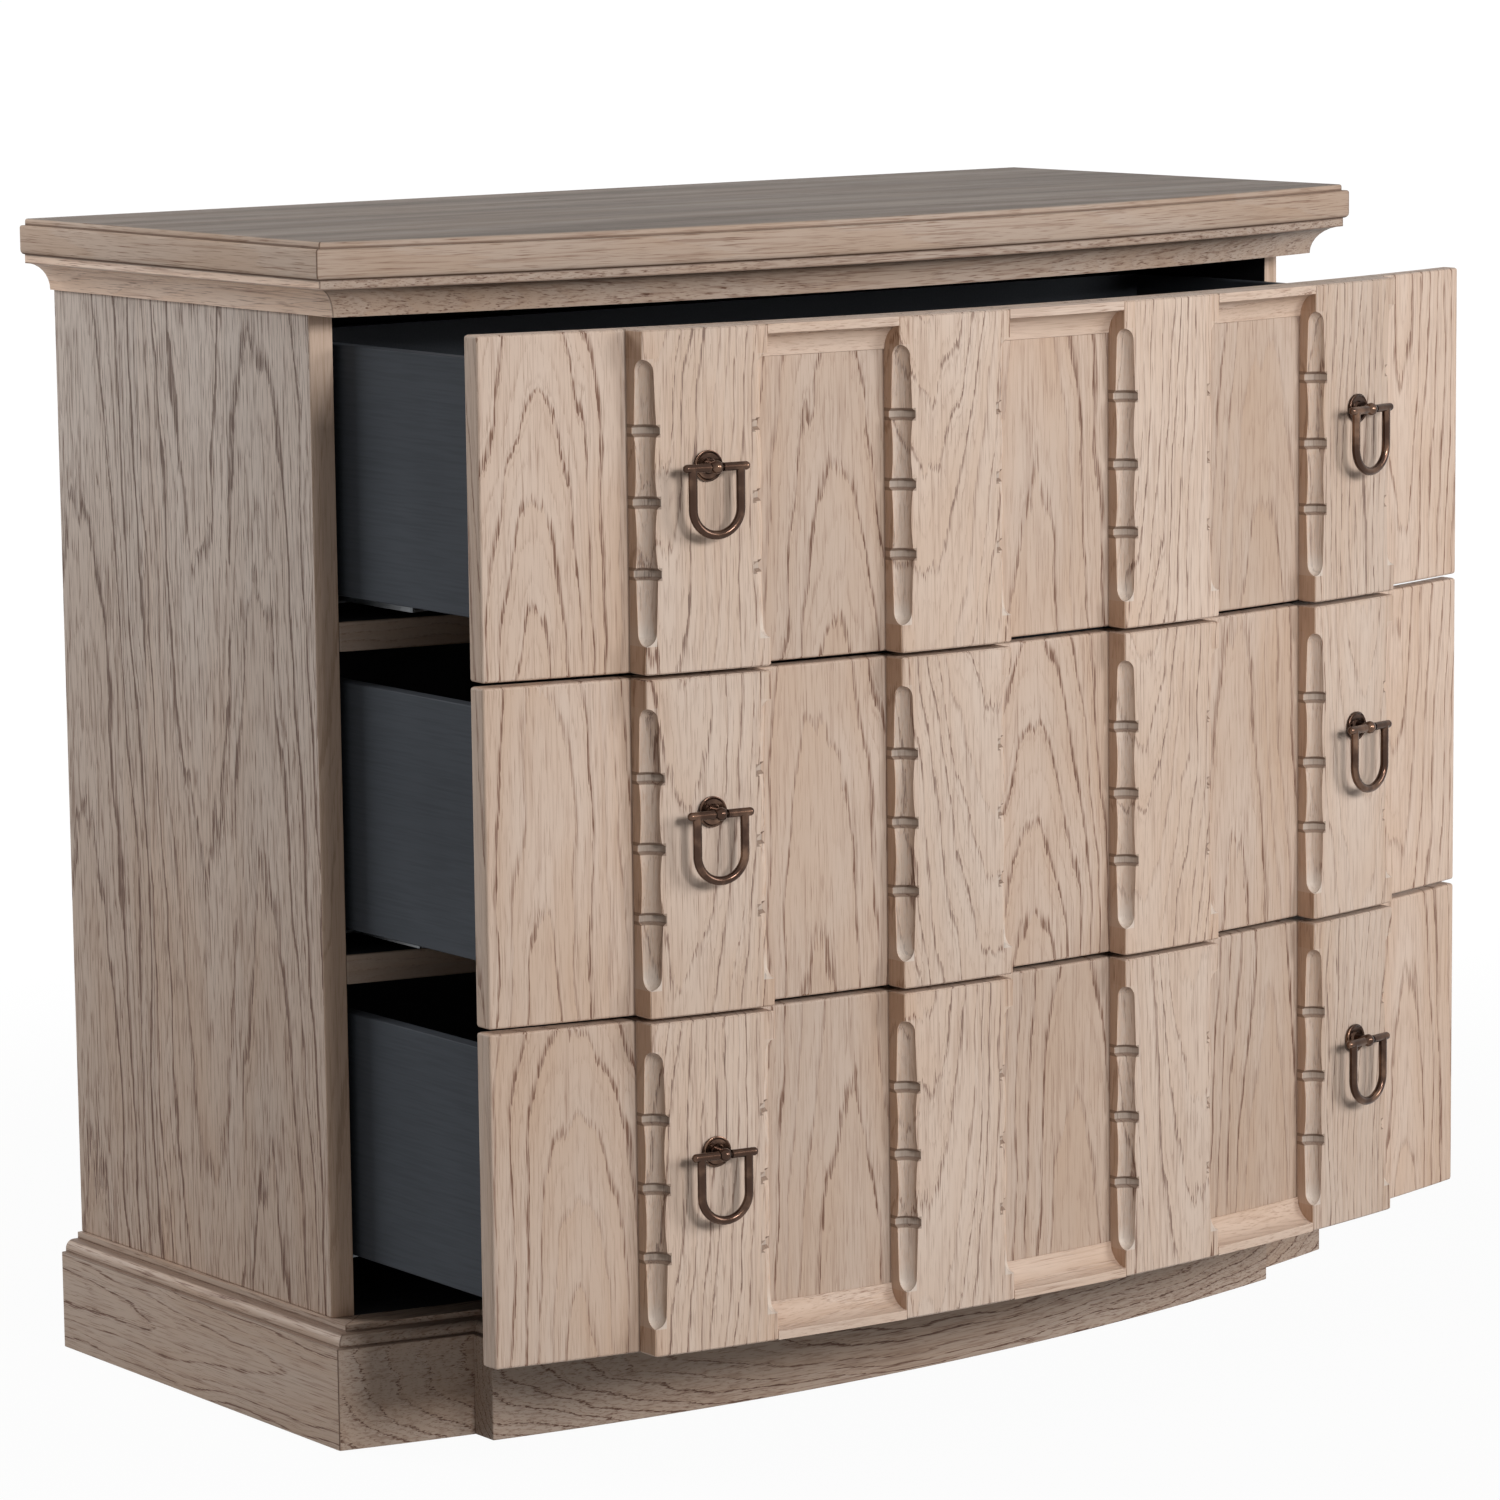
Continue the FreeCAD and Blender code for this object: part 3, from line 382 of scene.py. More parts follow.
class Field:
    """One output of a material's nodes. Arithmetic on fields adds Math nodes."""

    def __init__(self, tree, socket=None):
        self.tree = tree
        self.socket = socket

    def node(self, kind, settings=None, inputs=None, output=0):
        """Add a node: its type, its settings, what its sockets hold, and which output to give back."""
        made = self.tree.nodes.new(kind)
        for key, value in (settings or {}).items():
            setattr(made, key, value)
        for key, value in (inputs or {}).items():
            plug(made.inputs[key], value)
        return Field(self.tree, made.outputs[output])

    def math(self, operation, *values):
        """Add a Math node."""
        return self.node("ShaderNodeMath", {"operation": operation}, dict(enumerate(values)))

    def __add__(self, other):
        return self.math("ADD", self, other)

    def __sub__(self, other):
        return self.math("SUBTRACT", self, other)

    def __rsub__(self, other):
        return self.math("SUBTRACT", other, self)

    def __mul__(self, other):
        return self.math("MULTIPLY", self, other)

    def __truediv__(self, other):
        return self.math("DIVIDE", self, other)

    def __abs__(self):
        return self.math("ABSOLUTE", self)

    __radd__ = __add__
    __rmul__ = __mul__

    def floor(self):
        """The whole number below."""
        return self.math("FLOOR", self)

    def fraction(self):
        """What is left above that whole number."""
        return self.math("FRACT", self)

    def least(self, other):
        """The smaller of two."""
        return self.math("MINIMUM", self, other)

    def most(self, other):
        """The larger of two."""
        return self.math("MAXIMUM", self, other)

    def hypot(self, other):
        """The root of the sum of two squares."""
        return self.math("SQRT", self * self + other * other)

    def rise(self, low, high):
        """0 below low, 1 above high and smooth between."""
        return self.node("ShaderNodeMapRange", {"interpolation_type": "SMOOTHSTEP"},
                         {0: self, 1: low, 2: high, 3: 0.0, 4: 1.0})

    def within(self, low, high, blur):
        """1 from low to high, fading over a blur outside."""
        return self.rise(low - blur, low) * (1 - self.rise(high, high + blur))

    def line(self, core, edge):
        """1 within a core on either side of 0, fading out to an edge."""
        return 1 - abs(self).rise(core, edge)

    def blend(self, first, second):
        """The first colour where this is 0 and the second where it is 1."""
        return self.node("ShaderNodeMix", {"data_type": "RGBA"},
                         {0: self, 6: as_colour(first), 7: as_colour(second)}, 2)

    def times(self, factor):
        """This colour, lighter or darker by a factor."""
        return self.node("ShaderNodeVectorMath", {"operation": "SCALE"}, {0: self, 3: factor})

    def vector(self, x, y, z):
        """Three numbers as one place."""
        return self.node("ShaderNodeCombineXYZ", None, {0: x, 1: y, 2: z})

    def noise(self, x, y, z, detail=2.0):
        """Cloudy noise about 0.5 at a place."""
        return self.node("ShaderNodeTexNoise", None,
                         {"Vector": self.vector(x, y, z), "Scale": 1.0, "Detail": detail})

    def mottle(self, at, x, y, z, detail=2.0):
        """Cloudy noise with about so many patches in a millimetre along each axis."""
        return self.noise(at[X] * x, at[Y] * y, at[Z] * z, detail)

    def place(self):
        """The three coordinates of the piece, in millimetres."""
        at = self.node("ShaderNodeTexCoord", None, None, "Object")
        at = self.node("ShaderNodeVectorMath", {"operation": "SCALE"}, {0: at, 3: MM})
        return [self.node("ShaderNodeSeparateXYZ", None, {0: at}, axis) for axis in "XYZ"]

    def chance(self, x, y, z):
        """Four random numbers that stay the same over a cell."""
        key = {"Vector": self.vector(x, y, z)}
        shades = self.node("ShaderNodeTexWhiteNoise", {"noise_dimensions": "3D"}, key, "Color")
        parts = [self.node("ShaderNodeSeparateColor", None, {0: shades}, part) for part in range(3)]
        return parts + [self.node("ShaderNodeTexWhiteNoise", {"noise_dimensions": "3D"}, key, "Value")]


def plug(socket, value):
    """Link a field to a socket, or set the socket to a plain value."""
    if isinstance(value, Field):
        value.tree.links.new(value.socket, socket)
    else:
        socket.default_value = value


def as_colour(shade):
    """A colour as a node's socket takes it."""
    return shade if isinstance(shade, Field) else (*shade, 1)


def shaded(colour, factor):
    """A plain colour, darker by a factor."""
    return tuple(level * factor for level in colour)


def new_material(name):
    """An empty material with its shader, and a field to start its nodes from."""
    material = bpy.data.materials.new(name)
    material.use_nodes = True
    shader = material.node_tree.nodes["Principled BSDF"]
    return material, shader, Field(material.node_tree)


def feed(shader, **inputs):
    """Set or link the shader's sockets; Base_Color stands for Base Color."""
    for key, value in inputs.items():
        plug(shader.inputs[key.replace("_", " ")], value)


def bumped(height, strength, depth):
    """A normal that follows a height."""
    return height.node("ShaderNodeBump", None,
                       {"Height": height, "Strength": strength, "Distance": depth}, "Normal")


class Cut(NamedTuple):
    """How oak is cut into leaves, as of veneer, and how its rings grow. Lengths are in mm.

    Grain runs along one axis, and leaves lie side by side across it, each of a size (across, along) from a
    start. Rings are ring apart and cross a leaf with a slope. The pith of a leaf lies off its middle by up to
    half the spread, and behind it by near to near + deep. Solid is how much of the depth behind the pith
    counts: little for veneer, 1 for solid wood. Arches point up in the turned share of the leaves, and the
    mark is the share of a ring that is dark. Rings wave, curl and fray by up to half those lengths, and the
    uneven length is how far they crowd together or spread out.
    """

    along: int
    across: int
    leaf: tuple
    start: tuple
    ring: float
    slope: float
    spread: float
    seed: float
    solid: float = 0.2
    pith: float = 0.0
    turned: float = 0.27
    mark: float = 0.22
    near: float = 10
    deep: float = 26
    wave: float = 34
    curl: float = 7
    fray: float = 2.6
    uneven: float = 9

    def route(self, at):
        """Along the grain, across it and into the wood."""
        return at[self.along], at[self.across], at[X + Y + Z - self.along - self.across]


def oak_grain(root, route, cut, calm):
    """How dark the pores are, where in its ring each place lies, its waviness and the chance of its leaf.

    A leaf is a flat cut through a log: rings lie at the distance d = sqrt(u² + (w + slope g)²) from the
    pith, with u across the leaf and g along it, so lines run straight at its sides and meet in arches.
    Calm wood, from 0 to 1, shows its pores and few rings.
    """
    along, across, depth = route
    share_u = (across - cut.start[0]) / cut.leaf[0]
    share_g = (along - cut.start[1]) / cut.leaf[1]
    cell_u, cell_g = share_u.floor(), share_g.floor()
    aside, behind, tilt, turn = root.chance(cell_u, cell_g, cut.seed)
    apart = (aside + behind * 7 + cell_u) * 31

    def figure(fine, long, shift=0.0, detail=2.0):
        """Noise with about so many patches in a millimetre across the grain, and along it."""
        return root.noise(across * fine + shift, along * long, depth * fine, detail)

    wave, curl, fray = figure(0.016, 0.0045, apart), figure(0.07, 0.011, apart), figure(1.1, 0.045)
    pore, streak = figure(1.2, 0.036), figure(0.42, 0.012, detail=1.0)

    # The distance from the pith, in rings.
    u = (share_u.fraction() - 0.5) * cut.leaf[0]
    g = (share_g.fraction() - 0.5) * cut.leaf[1]
    side = u + (aside - 0.5) * cut.spread + (wave - 0.5) * cut.wave
    lean = (turn.rise(cut.turned, cut.turned + 0.01) * 2 - 1) * (tilt * 0.9 + 0.55) * cut.slope
    rise = behind * cut.deep + cut.near + g * lean + (depth - cut.pith) * cut.solid
    reach = side.hypot(rise)
    distance = reach + (curl - 0.5) * cut.curl + (fray - 0.5) * cut.fray
    uneven = root.noise(distance * 0.06, apart, 0.0, 1.0)
    turns = (distance + uneven * cut.uneven) / cut.ring

    # A dark line starts each ring, wider at the sides of an arch, with fainter lines between.
    ring = turns.fraction()
    second = (turns * 2.7 + aside).fraction()
    steep = abs(side) / reach
    flank = steep.rise(0.05, 0.5)
    width = (steep * 0.7 + 0.3) * cut.mark
    line = (1 - ring.rise(width * 0.3, width)).most(ring.rise(0.97, 1.0))
    faint = (1 - second.rise(0.04, 0.3)) * 0.34

    # Pores break the lines into dashes, and fleck the wood between them.
    dash = pore.rise(0.40, 0.62)
    broken = dash + (1 - dash) * flank * 0.25
    strength = (uneven.rise(0.32, 0.60) * 0.6 + 0.4) * (flank * 0.3 + 0.7) * (1 - calm * 0.85)
    fleck = (pore.rise(0.54, 0.70) * 0.34 + streak.rise(0.5, 0.72) * 0.22) * (calm * 0.4 + 1)
    dark = (line.most(faint) * broken * strength).most(fleck * (1 - ring * 0.4))
    return dark, ring, wave, turn


def oak_material(name, cut, tone=1.0, contrast=1.0, sheen=0.22, route=None, calm=None, greying=None,
                 black_inside=None, glaze_and_painted_light=None):
    """Limed oak: pale wood with brown-grey pores and warm patches.

    Where asked, it turns greyer, turns near black inside the case, and takes marks of joints and washes
    with painted light and shade.
    """
    finish = colours_now()
    material, shader, root = new_material(name)
    at = root.place()
    dark, ring, wave, leaf = oak_grain(root, (route or cut.route)(at), cut, calm(at) if calm else 0.0)
    ground = (ring * 0.35 + wave.rise(0.35, 0.75) * 0.5).blend(finish.oak_pale, finish.oak_warm)
    lines = (dark * (contrast * 0.6)).blend(finish.oak_line, finish.oak_dark)
    if greying:
        share = greying(at)
        ground, lines = share.blend(ground, finish.side_grey), share.blend(lines, finish.side_line)
    colour = (dark * contrast).least(1.0).blend(ground, lines)
    cloud = root.mottle(at, 0.007, 0.007, 0.007)
    colour = colour.times((leaf * 0.12 + 0.94) * (cloud * 0.16 + 0.92) * tone)
    # Marks of joints and washes, with painted light and shade
    if glaze_and_painted_light:
        colour = glaze_and_painted_light(at, colour)
    if black_inside:
        colour = black_inside(at).blend(colour, finish.inside_black)
    feed(shader, Base_Color=colour, Roughness=dark * 0.14 + 0.50, Specular_IOR_Level=sheen,
         Normal=bumped(1 - dark, 0.35, 0.0006))
    return material


def paint_material():
    """Charcoal paint over close-grained boards: faint grain, small runs of wear and a soft gloss."""
    charcoal = colours_now().charcoal
    material, shader, root = new_material("charcoal_paint")
    at = root.place()
    grain = root.mottle(at, 0.6, 0.02, 0.6, 3.0)
    cloud = root.mottle(at, 0.011, 0.011, 0.011)
    colour = grain.rise(0.35, 0.75).blend(charcoal, shaded(charcoal, 0.87))
    feed(shader, Base_Color=colour.times(cloud * 0.3 + 0.85), Roughness=grain * 0.16 + 0.42,
         Specular_IOR_Level=0.03, Normal=bumped(grain, 0.1, 0.0004))
    return material


def board_material():
    """Plain hidden board: thin sliced wood with a faint figure, near black inside the case."""
    finish = colours_now()
    material, shader, root = new_material("plain_board")
    at = root.place()
    low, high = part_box("bottom_deck")
    floor, back = low.z * MM, high.y * MM
    stripe = root.mottle(at, 0.05, 0.05, 0.003, 4.0)
    fine = root.mottle(at, 0.9, 0.9, 0.03)
    figure = stripe.rise(0.35, 0.7) * 0.7 + fine.rise(0.55, 0.75) * 0.3
    inside = at[Z].rise(floor + 0.3, floor + 0.6) * (1 - at[Y].rise(back - 0.6, back - 0.3))
    colour = inside.blend(figure.blend(finish.board, shaded(finish.board, 0.62)), finish.inside_black)
    feed(shader, Base_Color=colour, Roughness=fine * 0.15 + 0.6, Specular_IOR_Level=0.15,
         Normal=bumped(fine, 0.2, 0.0004))
    return material


def bronze_material():
    """Dark antique bronze, rubbed brighter in patches, with fine casting grain."""
    finish = colours_now()
    material, shader, root = new_material("antique_bronze")
    at = root.place()
    cloud = root.mottle(at, 0.06, 0.06, 0.06, 3.0)
    grit = root.mottle(at, 1.6, 1.6, 1.6)
    colour = cloud.rise(0.45, 0.78).blend(finish.bronze, finish.bronze_bright)
    feed(shader, Base_Color=colour.times(grit * 0.24 + 0.88), Metallic=1.0, Roughness=cloud * 0.12 + 0.14,
         Coat_Weight=cloud * 0.2 + 0.1, Coat_Roughness=0.12, Normal=bumped(grit, 0.05, 0.0002))
    return material


def zinc_material():
    """Zinc plated sheet: small spangles and a brushed sheen."""
    zinc = colours_now().zinc
    material, shader, root = new_material("zinc_plate")
    at = root.place()
    cells = root.vector(*(place * 0.16 for place in at))
    spangle = root.node("ShaderNodeTexVoronoi", None, {"Vector": cells, "Scale": 1.0}, "Color")
    level = root.node("ShaderNodeSeparateColor", None, {0: spangle}, 0)
    brush = root.mottle(at, 3.0, 0.08, 3.0)
    feed(shader, Base_Color=level.blend(zinc, shaded(zinc, 0.72)), Metallic=0.95,
         Roughness=brush * 0.2 + level * 0.1 + 0.26)
    return material


def from_axis(at):
    """How far each place of the case lies, in plan, from the axis of its bow, in mm."""
    return at[X].hypot(at[Y] - case_bow().axis * MM)


def beside_walls(at):
    """How far each place of a drawer front lies, along x, from the nearest side wall of a block, in mm.

    The walls repeat with the pitch of the blocks, so the distance is worked out within one pitch.
    """
    pitch = block_pitch() * MM
    edge = (pitch - sizes_now().block_width * MM) / 2
    place = (abs(at[X]) / pitch).fraction() * pitch
    return abs(place - edge).least(abs(place - (pitch - edge)))


def wall_joints_and_painted_shade(at, colour):
    """Painted shade on a drawer front: darker between the blocks, and dark in the corners at their walls."""
    aside = abs(at[X])
    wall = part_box("lower_blocks")[1].x * MM
    # Painted shade: the recesses between the blocks are darker by a tenth
    between = 1 - aside.rise(wall - 1.0, wall)
    # The line where the walls of the blocks meet the front marks their joint and paints the shade of that
    # corner
    near = beside_walls(at).line(0.5, 1.8) * (1 - aside.rise(wall + 2.0, wall + 3.0))
    return (near * 0.7).blend(colour.times(1 - between * 0.11), colours_now().dark_joint_and_shade)


def flute_wash_and_painted_light(at, colour):
    """Marks on the blocks: washes, pores and painted light and shade.

    A pale wash covers the faces and the flutes, with brown pores in the flutes and a grey wash on the ring
    floors.
    The side walls are browned and the walls of the rings darkened as painted shade, and the lower ends of the
    flutes are paler as a painted highlight.
    """
    sizes, finish = sizes_now(), colours_now()
    low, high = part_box("lower_blocks")
    height, pitch, margin = (high.z - low.z) * MM, drawer_pitch() * MM, sizes.flute_margin * MM
    gap = (height - 2 * margin) / (RINGS + 1)
    flat, mouth = sizes.ring_flat * MM / 2, sizes.ring_mouth * MM / 2
    flute, ring = sizes.flute_radius * MM, sizes.ring_radius * MM

    beside = beside_walls(at)
    lift = ((at[Z] - low.z * MM) / pitch).fraction() * pitch
    from_ring = abs(((lift - margin) / gap + 0.5).fraction() - 0.5) * gap
    ringed = lift.within(margin + gap / 2, height - margin - gap / 2, 0.5)
    ringed = ringed * (1 - beside.rise(ring, ring + 0.4))
    fluted = lift.within(margin, height - margin, 0.5) * (1 - beside.rise(flute - 0.4, flute))
    foot = fluted * (1 - lift.rise(margin + 6, margin + 22))
    wall = 1 - beside.rise(0.25, 0.45)
    cut_pores = at[X].mottle(at, 0.9, 0.9, 0.16).rise(0.46, 0.64)

    colour = (beside.rise(8.0, 14.0) * 0.12).blend(colour, finish.glaze)
    colour = (fluted * (1 - foot) * cut_pores * 0.3).blend(colour, finish.brown_wash_and_wall_shade)
    # A pale wash in the flutes that also lifts their shade as painted light, and a painted highlight that
    # makes their lower ends paler
    colour = (fluted * 0.2 + foot * 0.4).blend(colour, finish.glaze)
    colour = (ringed * (1 - from_ring.rise(flat, flat + 0.4)) * 0.5).blend(colour, finish.ring_grey)
    # Painted shade: the side walls of the blocks are browned to look darker
    colour = (wall * 0.4).blend(colour, finish.brown_wash_and_wall_shade)
    # Painted shade: the walls of the rings are darkened
    return (ringed * from_ring.within(flat, mouth, 0.5) * 0.6).blend(colour, finish.dark_joint_and_shade)


def front_route(at):
    """Grain of a drawer front: upright, and laid the other way round on the ends of the board."""
    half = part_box("upper_front")[1].x * MM
    end = abs(at[X]).rise(half - 0.5, half - 0.3)
    return at[Z], at[X] + end * (at[Y] - at[X]), at[Y]


def top_edges(at):
    """How far each place of the top lies from its nearer side, and from its bowed front, in mm."""
    low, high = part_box("top_panel")
    return high.x * MM - abs(at[X]), (case_bow().axis - low.y) * MM - from_axis(at)


def top_strips(at):
    """Where the strips that edge the sides and the front of the top lie, mitred at the corners."""
    width, hair = sizes_now().top_strip * MM, 0.1
    from_side, from_front = top_edges(at)
    side = (1 - from_side.rise(width, width + hair)) * (from_front - from_side).rise(-hair, hair)
    return side, (1 - from_front.rise(width, width + hair)) * (1 - side)


def top_route(at):
    """Grain of the top: along x, but along the edge in the strips that edge its front and its sides."""
    x, y, z = at
    side, front = top_strips(at)
    from_front = top_edges(at)[1]
    return x + side * (y - x), y + side * (x + z - y) + front * (z - from_front - y), z


def top_calm(at):
    """The strips that edge the top are plainer wood."""
    side, front = top_strips(at)
    return side + front


def top_surface_and_painted_shade(at, colour):
    """The greyer, darker, streaked surface of the top, its edges, lighter at the sides, and its mitre lines.

    The step round the top is darkened as painted shade, and its underside as a painted shadow.
    """
    x, y, z = at
    finish = colours_now()
    low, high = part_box("top_panel")
    bottom, crown, step = low.z * MM, high.z * MM, sizes_now().slab_step * MM
    from_side, from_front = top_edges(at)
    nearest = from_side.least(from_front)
    surface = nearest.rise(step, step + 3.0) * z.rise(crown - 1.0, crown)
    streak = x.noise(x * 0.0016, y * 0.02, 0.0, 4.0).rise(0.25, 0.75)
    edge = top_strips(at)[0] * 0.34 + 0.86
    colour = (surface * 0.45).blend(colour, finish.top_grey)
    colour = surface.blend(colour.times(edge), colour.times(streak * 0.48 + 0.565))
    mitre = (from_side - from_front).line(0.4, 1.0) * (1 - nearest.rise(8.0, 9.0))
    # Painted shade in the step round the top, and a painted shadow under it
    groove = nearest.within(step - 2.2, step - 0.1, 0.4) * (1 - z.rise(crown - 4.0, crown - 3.0))
    under = 1 - z.rise(bottom + 0.8, bottom + 1.8)
    return (mitre * 0.85).most(groove * 0.8).most(under * 0.9).blend(colour, finish.dark_joint_and_shade)


def run_joints_and_painted_light(at, colour, lift):
    """Dark lines at the joints and mitres of the mouldings and the plinth, and painted shade in creases.

    A mitre lies where |x| less the distance from the axis is the half width of its run less its radius.
    Above the ledge the runs are lighter or darker by the lift: painted light at the sides, painted shade at
    the front, under the top.
    """
    sizes, axis = sizes_now(), case_bow().axis
    base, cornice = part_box("base_moulding_left"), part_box("cornice_left")
    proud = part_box("plinth_front")[0].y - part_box("plinth_breakfront")[0].y
    base_mitre = -base[0].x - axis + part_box("base_moulding_front")[0].y + proud
    cornice_mitre = -cornice[0].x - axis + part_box("cornice_front")[0].y
    ledge = base[0].z + sizes.ovolo_foot + sizes.ovolo_radius
    middle = (base[1].z + cornice[0].z) / 2 * MM
    upper = at[Z].rise(middle, middle + 1)
    mitre = upper * ((cornice_mitre - base_mitre) * MM) + base_mitre * MM
    wash = (abs(at[X]) - from_axis(at) - mitre).line(0.4, 1.1)
    # The lines at the ledge and at the top of the cove are painted shade in creases; the others mark joints
    for joint in (base[0].z, ledge, cornice[0].z + sizes.cove_radius, cornice[1].z):
        wash = wash.most((at[Z] - joint * MM).line(0.5, 1.3))
    # Painted light and shade: the runs above the ledge are lightened or darkened by the lift
    colour = colour.times(at[Z].rise(ledge * MM, cornice[0].z * MM) * lift + 1)
    return (wash * 0.7).blend(colour, colours_now().dark_joint_and_shade)


def run_route(at):
    """Grain of the mouldings and boards along the sides, alike on both."""
    return at[Y], at[Z], abs(at[X])


def moulding_calm(at):
    """The mouldings are plainer wood than the plinth under them."""
    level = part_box("base_moulding_left")[0].z * MM
    return at[Z].rise(level, level + 1) * 0.8


def up_side(at):
    """0 at the foot of the side panels, rising to 1 at their top."""
    low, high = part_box("side_panel_left")
    return at[Z].rise(low.z * MM, high.z * MM)


def side_edge(at):
    """Where the front edge of a side panel lies."""
    edge = case_bow().back * MM
    return from_axis(at).rise(edge - 2.0, edge - 1.8)


def side_route(at):
    """Grain of a side panel: upright, and across the thickness of the panel on its front edge."""
    return at[Z], at[Y] + side_edge(at) * (at[X] - at[Y]), abs(at[X]) * -1


def side_greying(at):
    """The side panels turn greyer towards the top."""
    return up_side(at) * 0.6


def side_edge_and_painted_light(at, colour):
    """The sides are lighter towards the top as painted light, and the front edge of a side panel is plainer.
    """
    # Painted light: the sides brighten towards the top
    colour = colour.times(up_side(at) * 0.22 + 0.89)
    return (side_edge(at) * 0.7).blend(colour, colours_now().oak_warm)


def indoors(at):
    """Between the inner faces of the side panels."""
    inner = -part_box("side_panel_left")[1].x * MM
    return 1 - abs(at[X]).rise(inner + 0.3, inner + 0.6)


def behind_edge(at):
    """Behind the front edges of the case."""
    edge = case_bow().back * MM
    return 1 - from_axis(at).rise(edge - 3.4, edge - 3.0)


def inside_case(at):
    """Inside the case, and ahead of its back edges."""
    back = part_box("side_panel_left")[1].y * MM
    return behind_edge(at) * indoors(at) * (1 - at[Y].rise(back - 1.0, back - 0.5))


def oak_finishes():
    """The oak of each group of boards, by name. Leaves of the fronts and blocks are centred on them."""
    pitch_x, pitch_z = block_pitch() * MM, drawer_pitch() * MM
    front_low, front_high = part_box("lower_front")
    leaf, level = (pitch_x, pitch_z), (front_low.z + front_high.z) / 2 * MM - pitch_z / 2
    side_low, side_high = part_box("side_panel_left")
    side_leaves, spare = 3, 30  # leaves of a side panel, and mm that they would run past its ends
    side_leaf = ((side_high.y - side_low.y) * MM / side_leaves, (side_high.z - side_low.z) * MM + 2 * spare)
    side_start = (side_low.y * MM, side_low.z * MM - spare)
    heart = 40  # mm from the face of the plinth out to the pith of its boards
    return {
        "front": oak_material(
            "oak_fronts", Cut(Z, X, leaf, (-pitch_x / 2, level), ring=11.0, slope=0.11, spread=64, seed=3.1,
                              turned=0.9, mark=0.28),
            tone=0.94, contrast=1.4, route=front_route, glaze_and_painted_light=wall_joints_and_painted_shade),
        "blocks": oak_material(
            "oak_blocks", Cut(Z, X, leaf, (0, level), ring=7.6, slope=0.11, spread=170, seed=11.7),
            tone=0.92, contrast=1.8, glaze_and_painted_light=flute_wash_and_painted_light),
        "rails": oak_material(
            "oak_rails", Cut(X, Z, (60, 900), (20, -450), ring=7.0, slope=0.012, spread=60, seed=5.3),
            tone=0.96, contrast=1.5),
        "sides": oak_material(
            "oak_sides", Cut(Z, Y, side_leaf, side_start, ring=12.5, slope=0.06, spread=100, seed=7.9,
                             mark=0.24),
            tone=0.98, contrast=3.4, route=side_route, greying=side_greying, black_inside=indoors, glaze_and_painted_light=side_edge_and_painted_light),
        # Painted shade: the low tone darkens the edge boards, which lie in shadow behind the drawers
        "edges": oak_material(
            "oak_edge_boards", Cut(X, Z, (70, 2000), (10, -1000), ring=4.6, slope=0.01, spread=60, seed=2.3),
            tone=0.7, contrast=0.5, black_inside=behind_edge),
        "top": oak_material(
            "oak_top", Cut(X, Y, (150, 2200), (-20, -1100), ring=7.0, slope=0.03, spread=160, seed=4.4),
            tone=0.86, contrast=1.6, sheen=0.02, route=top_route, calm=top_calm, glaze_and_painted_light=top_surface_and_painted_shade),
        # The tones of the runs are partly painted shade: the plinth and mouldings lie under the drawers and
        # the top
        "runs_x": oak_material(
            "oak_front_runs", Cut(X, Z, (400, 2400), (-160, -1200), ring=7.0, slope=0.04, spread=60, seed=6.1,
                                  solid=1.0, pith=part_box("plinth_front")[0].y * MM - heart),
            tone=0.79, contrast=2.4, calm=moulding_calm, black_inside=inside_case,
            glaze_and_painted_light=functools.partial(run_joints_and_painted_light, lift=-0.15)),
        "runs_y": oak_material(
            "oak_side_runs", Cut(Y, Z, (120, 1200), (-30, -600), ring=7.5, slope=0.06, spread=60, seed=8.6,
                                 pith=-side_high.x * MM),
            tone=0.86, contrast=2.2, route=run_route, calm=moulding_calm, black_inside=inside_case,
            glaze_and_painted_light=functools.partial(run_joints_and_painted_light, lift=0.58)),
    }


@functools.cache
def finishes():
    """Every finish, made once."""
    return oak_finishes() | {"paint": paint_material(), "board": board_material(),
                             "bronze": bronze_material(), "zinc": zinc_material()}


def slab_outline(half, radius, bow, back, points=61):
    """The plan of the top: straight sides and back, and a front on the bow."""
    x = np.linspace(-half, half, points)
    return np.concatenate([[(-half, back)], np.column_stack([x, bow.y(x, radius)]), [(half, back)]])


def cornice_profile(sizes, inner, low, high):
    """Offset and height of the hollow moulding, from its outermost face."""
    cove = arc((0, low), sizes.cove_radius, 90, 180)
    return np.concatenate([section((inner, low), (inner, high), (0, high)), cove])


def base_profile(sizes, inner, low, high):
    """Offset and height of the base frame: an upright edge, a ledge, a round and a foot."""
    radius, round_low = sizes.ovolo_radius, low + sizes.ovolo_foot
    ledge, crown = -radius - sizes.ovolo_step, round_low + radius
    return np.concatenate([section((inner, low), (inner, high), (ledge, high), (ledge, crown)),
                           arc((-radius, round_low), radius, 90, 0), section((0, low))])


def board_profile(inner, low, high):
    """Offset and height of a plain board."""
    return section((inner, low), (inner, high), (0, high), (0, low))


def side_run(profile, half, radius, bow, back, sign):
    """A moulding along one side, from the back to its mitre, where offset o meets the bow at half + o."""
    offset, z = profile.T
    x = half + offset
    ends = [np.column_stack([sign * x, y, z]) for y in (np.full(len(x), back), bow.y(x, radius + offset))]
    return shell(np.stack(ends))


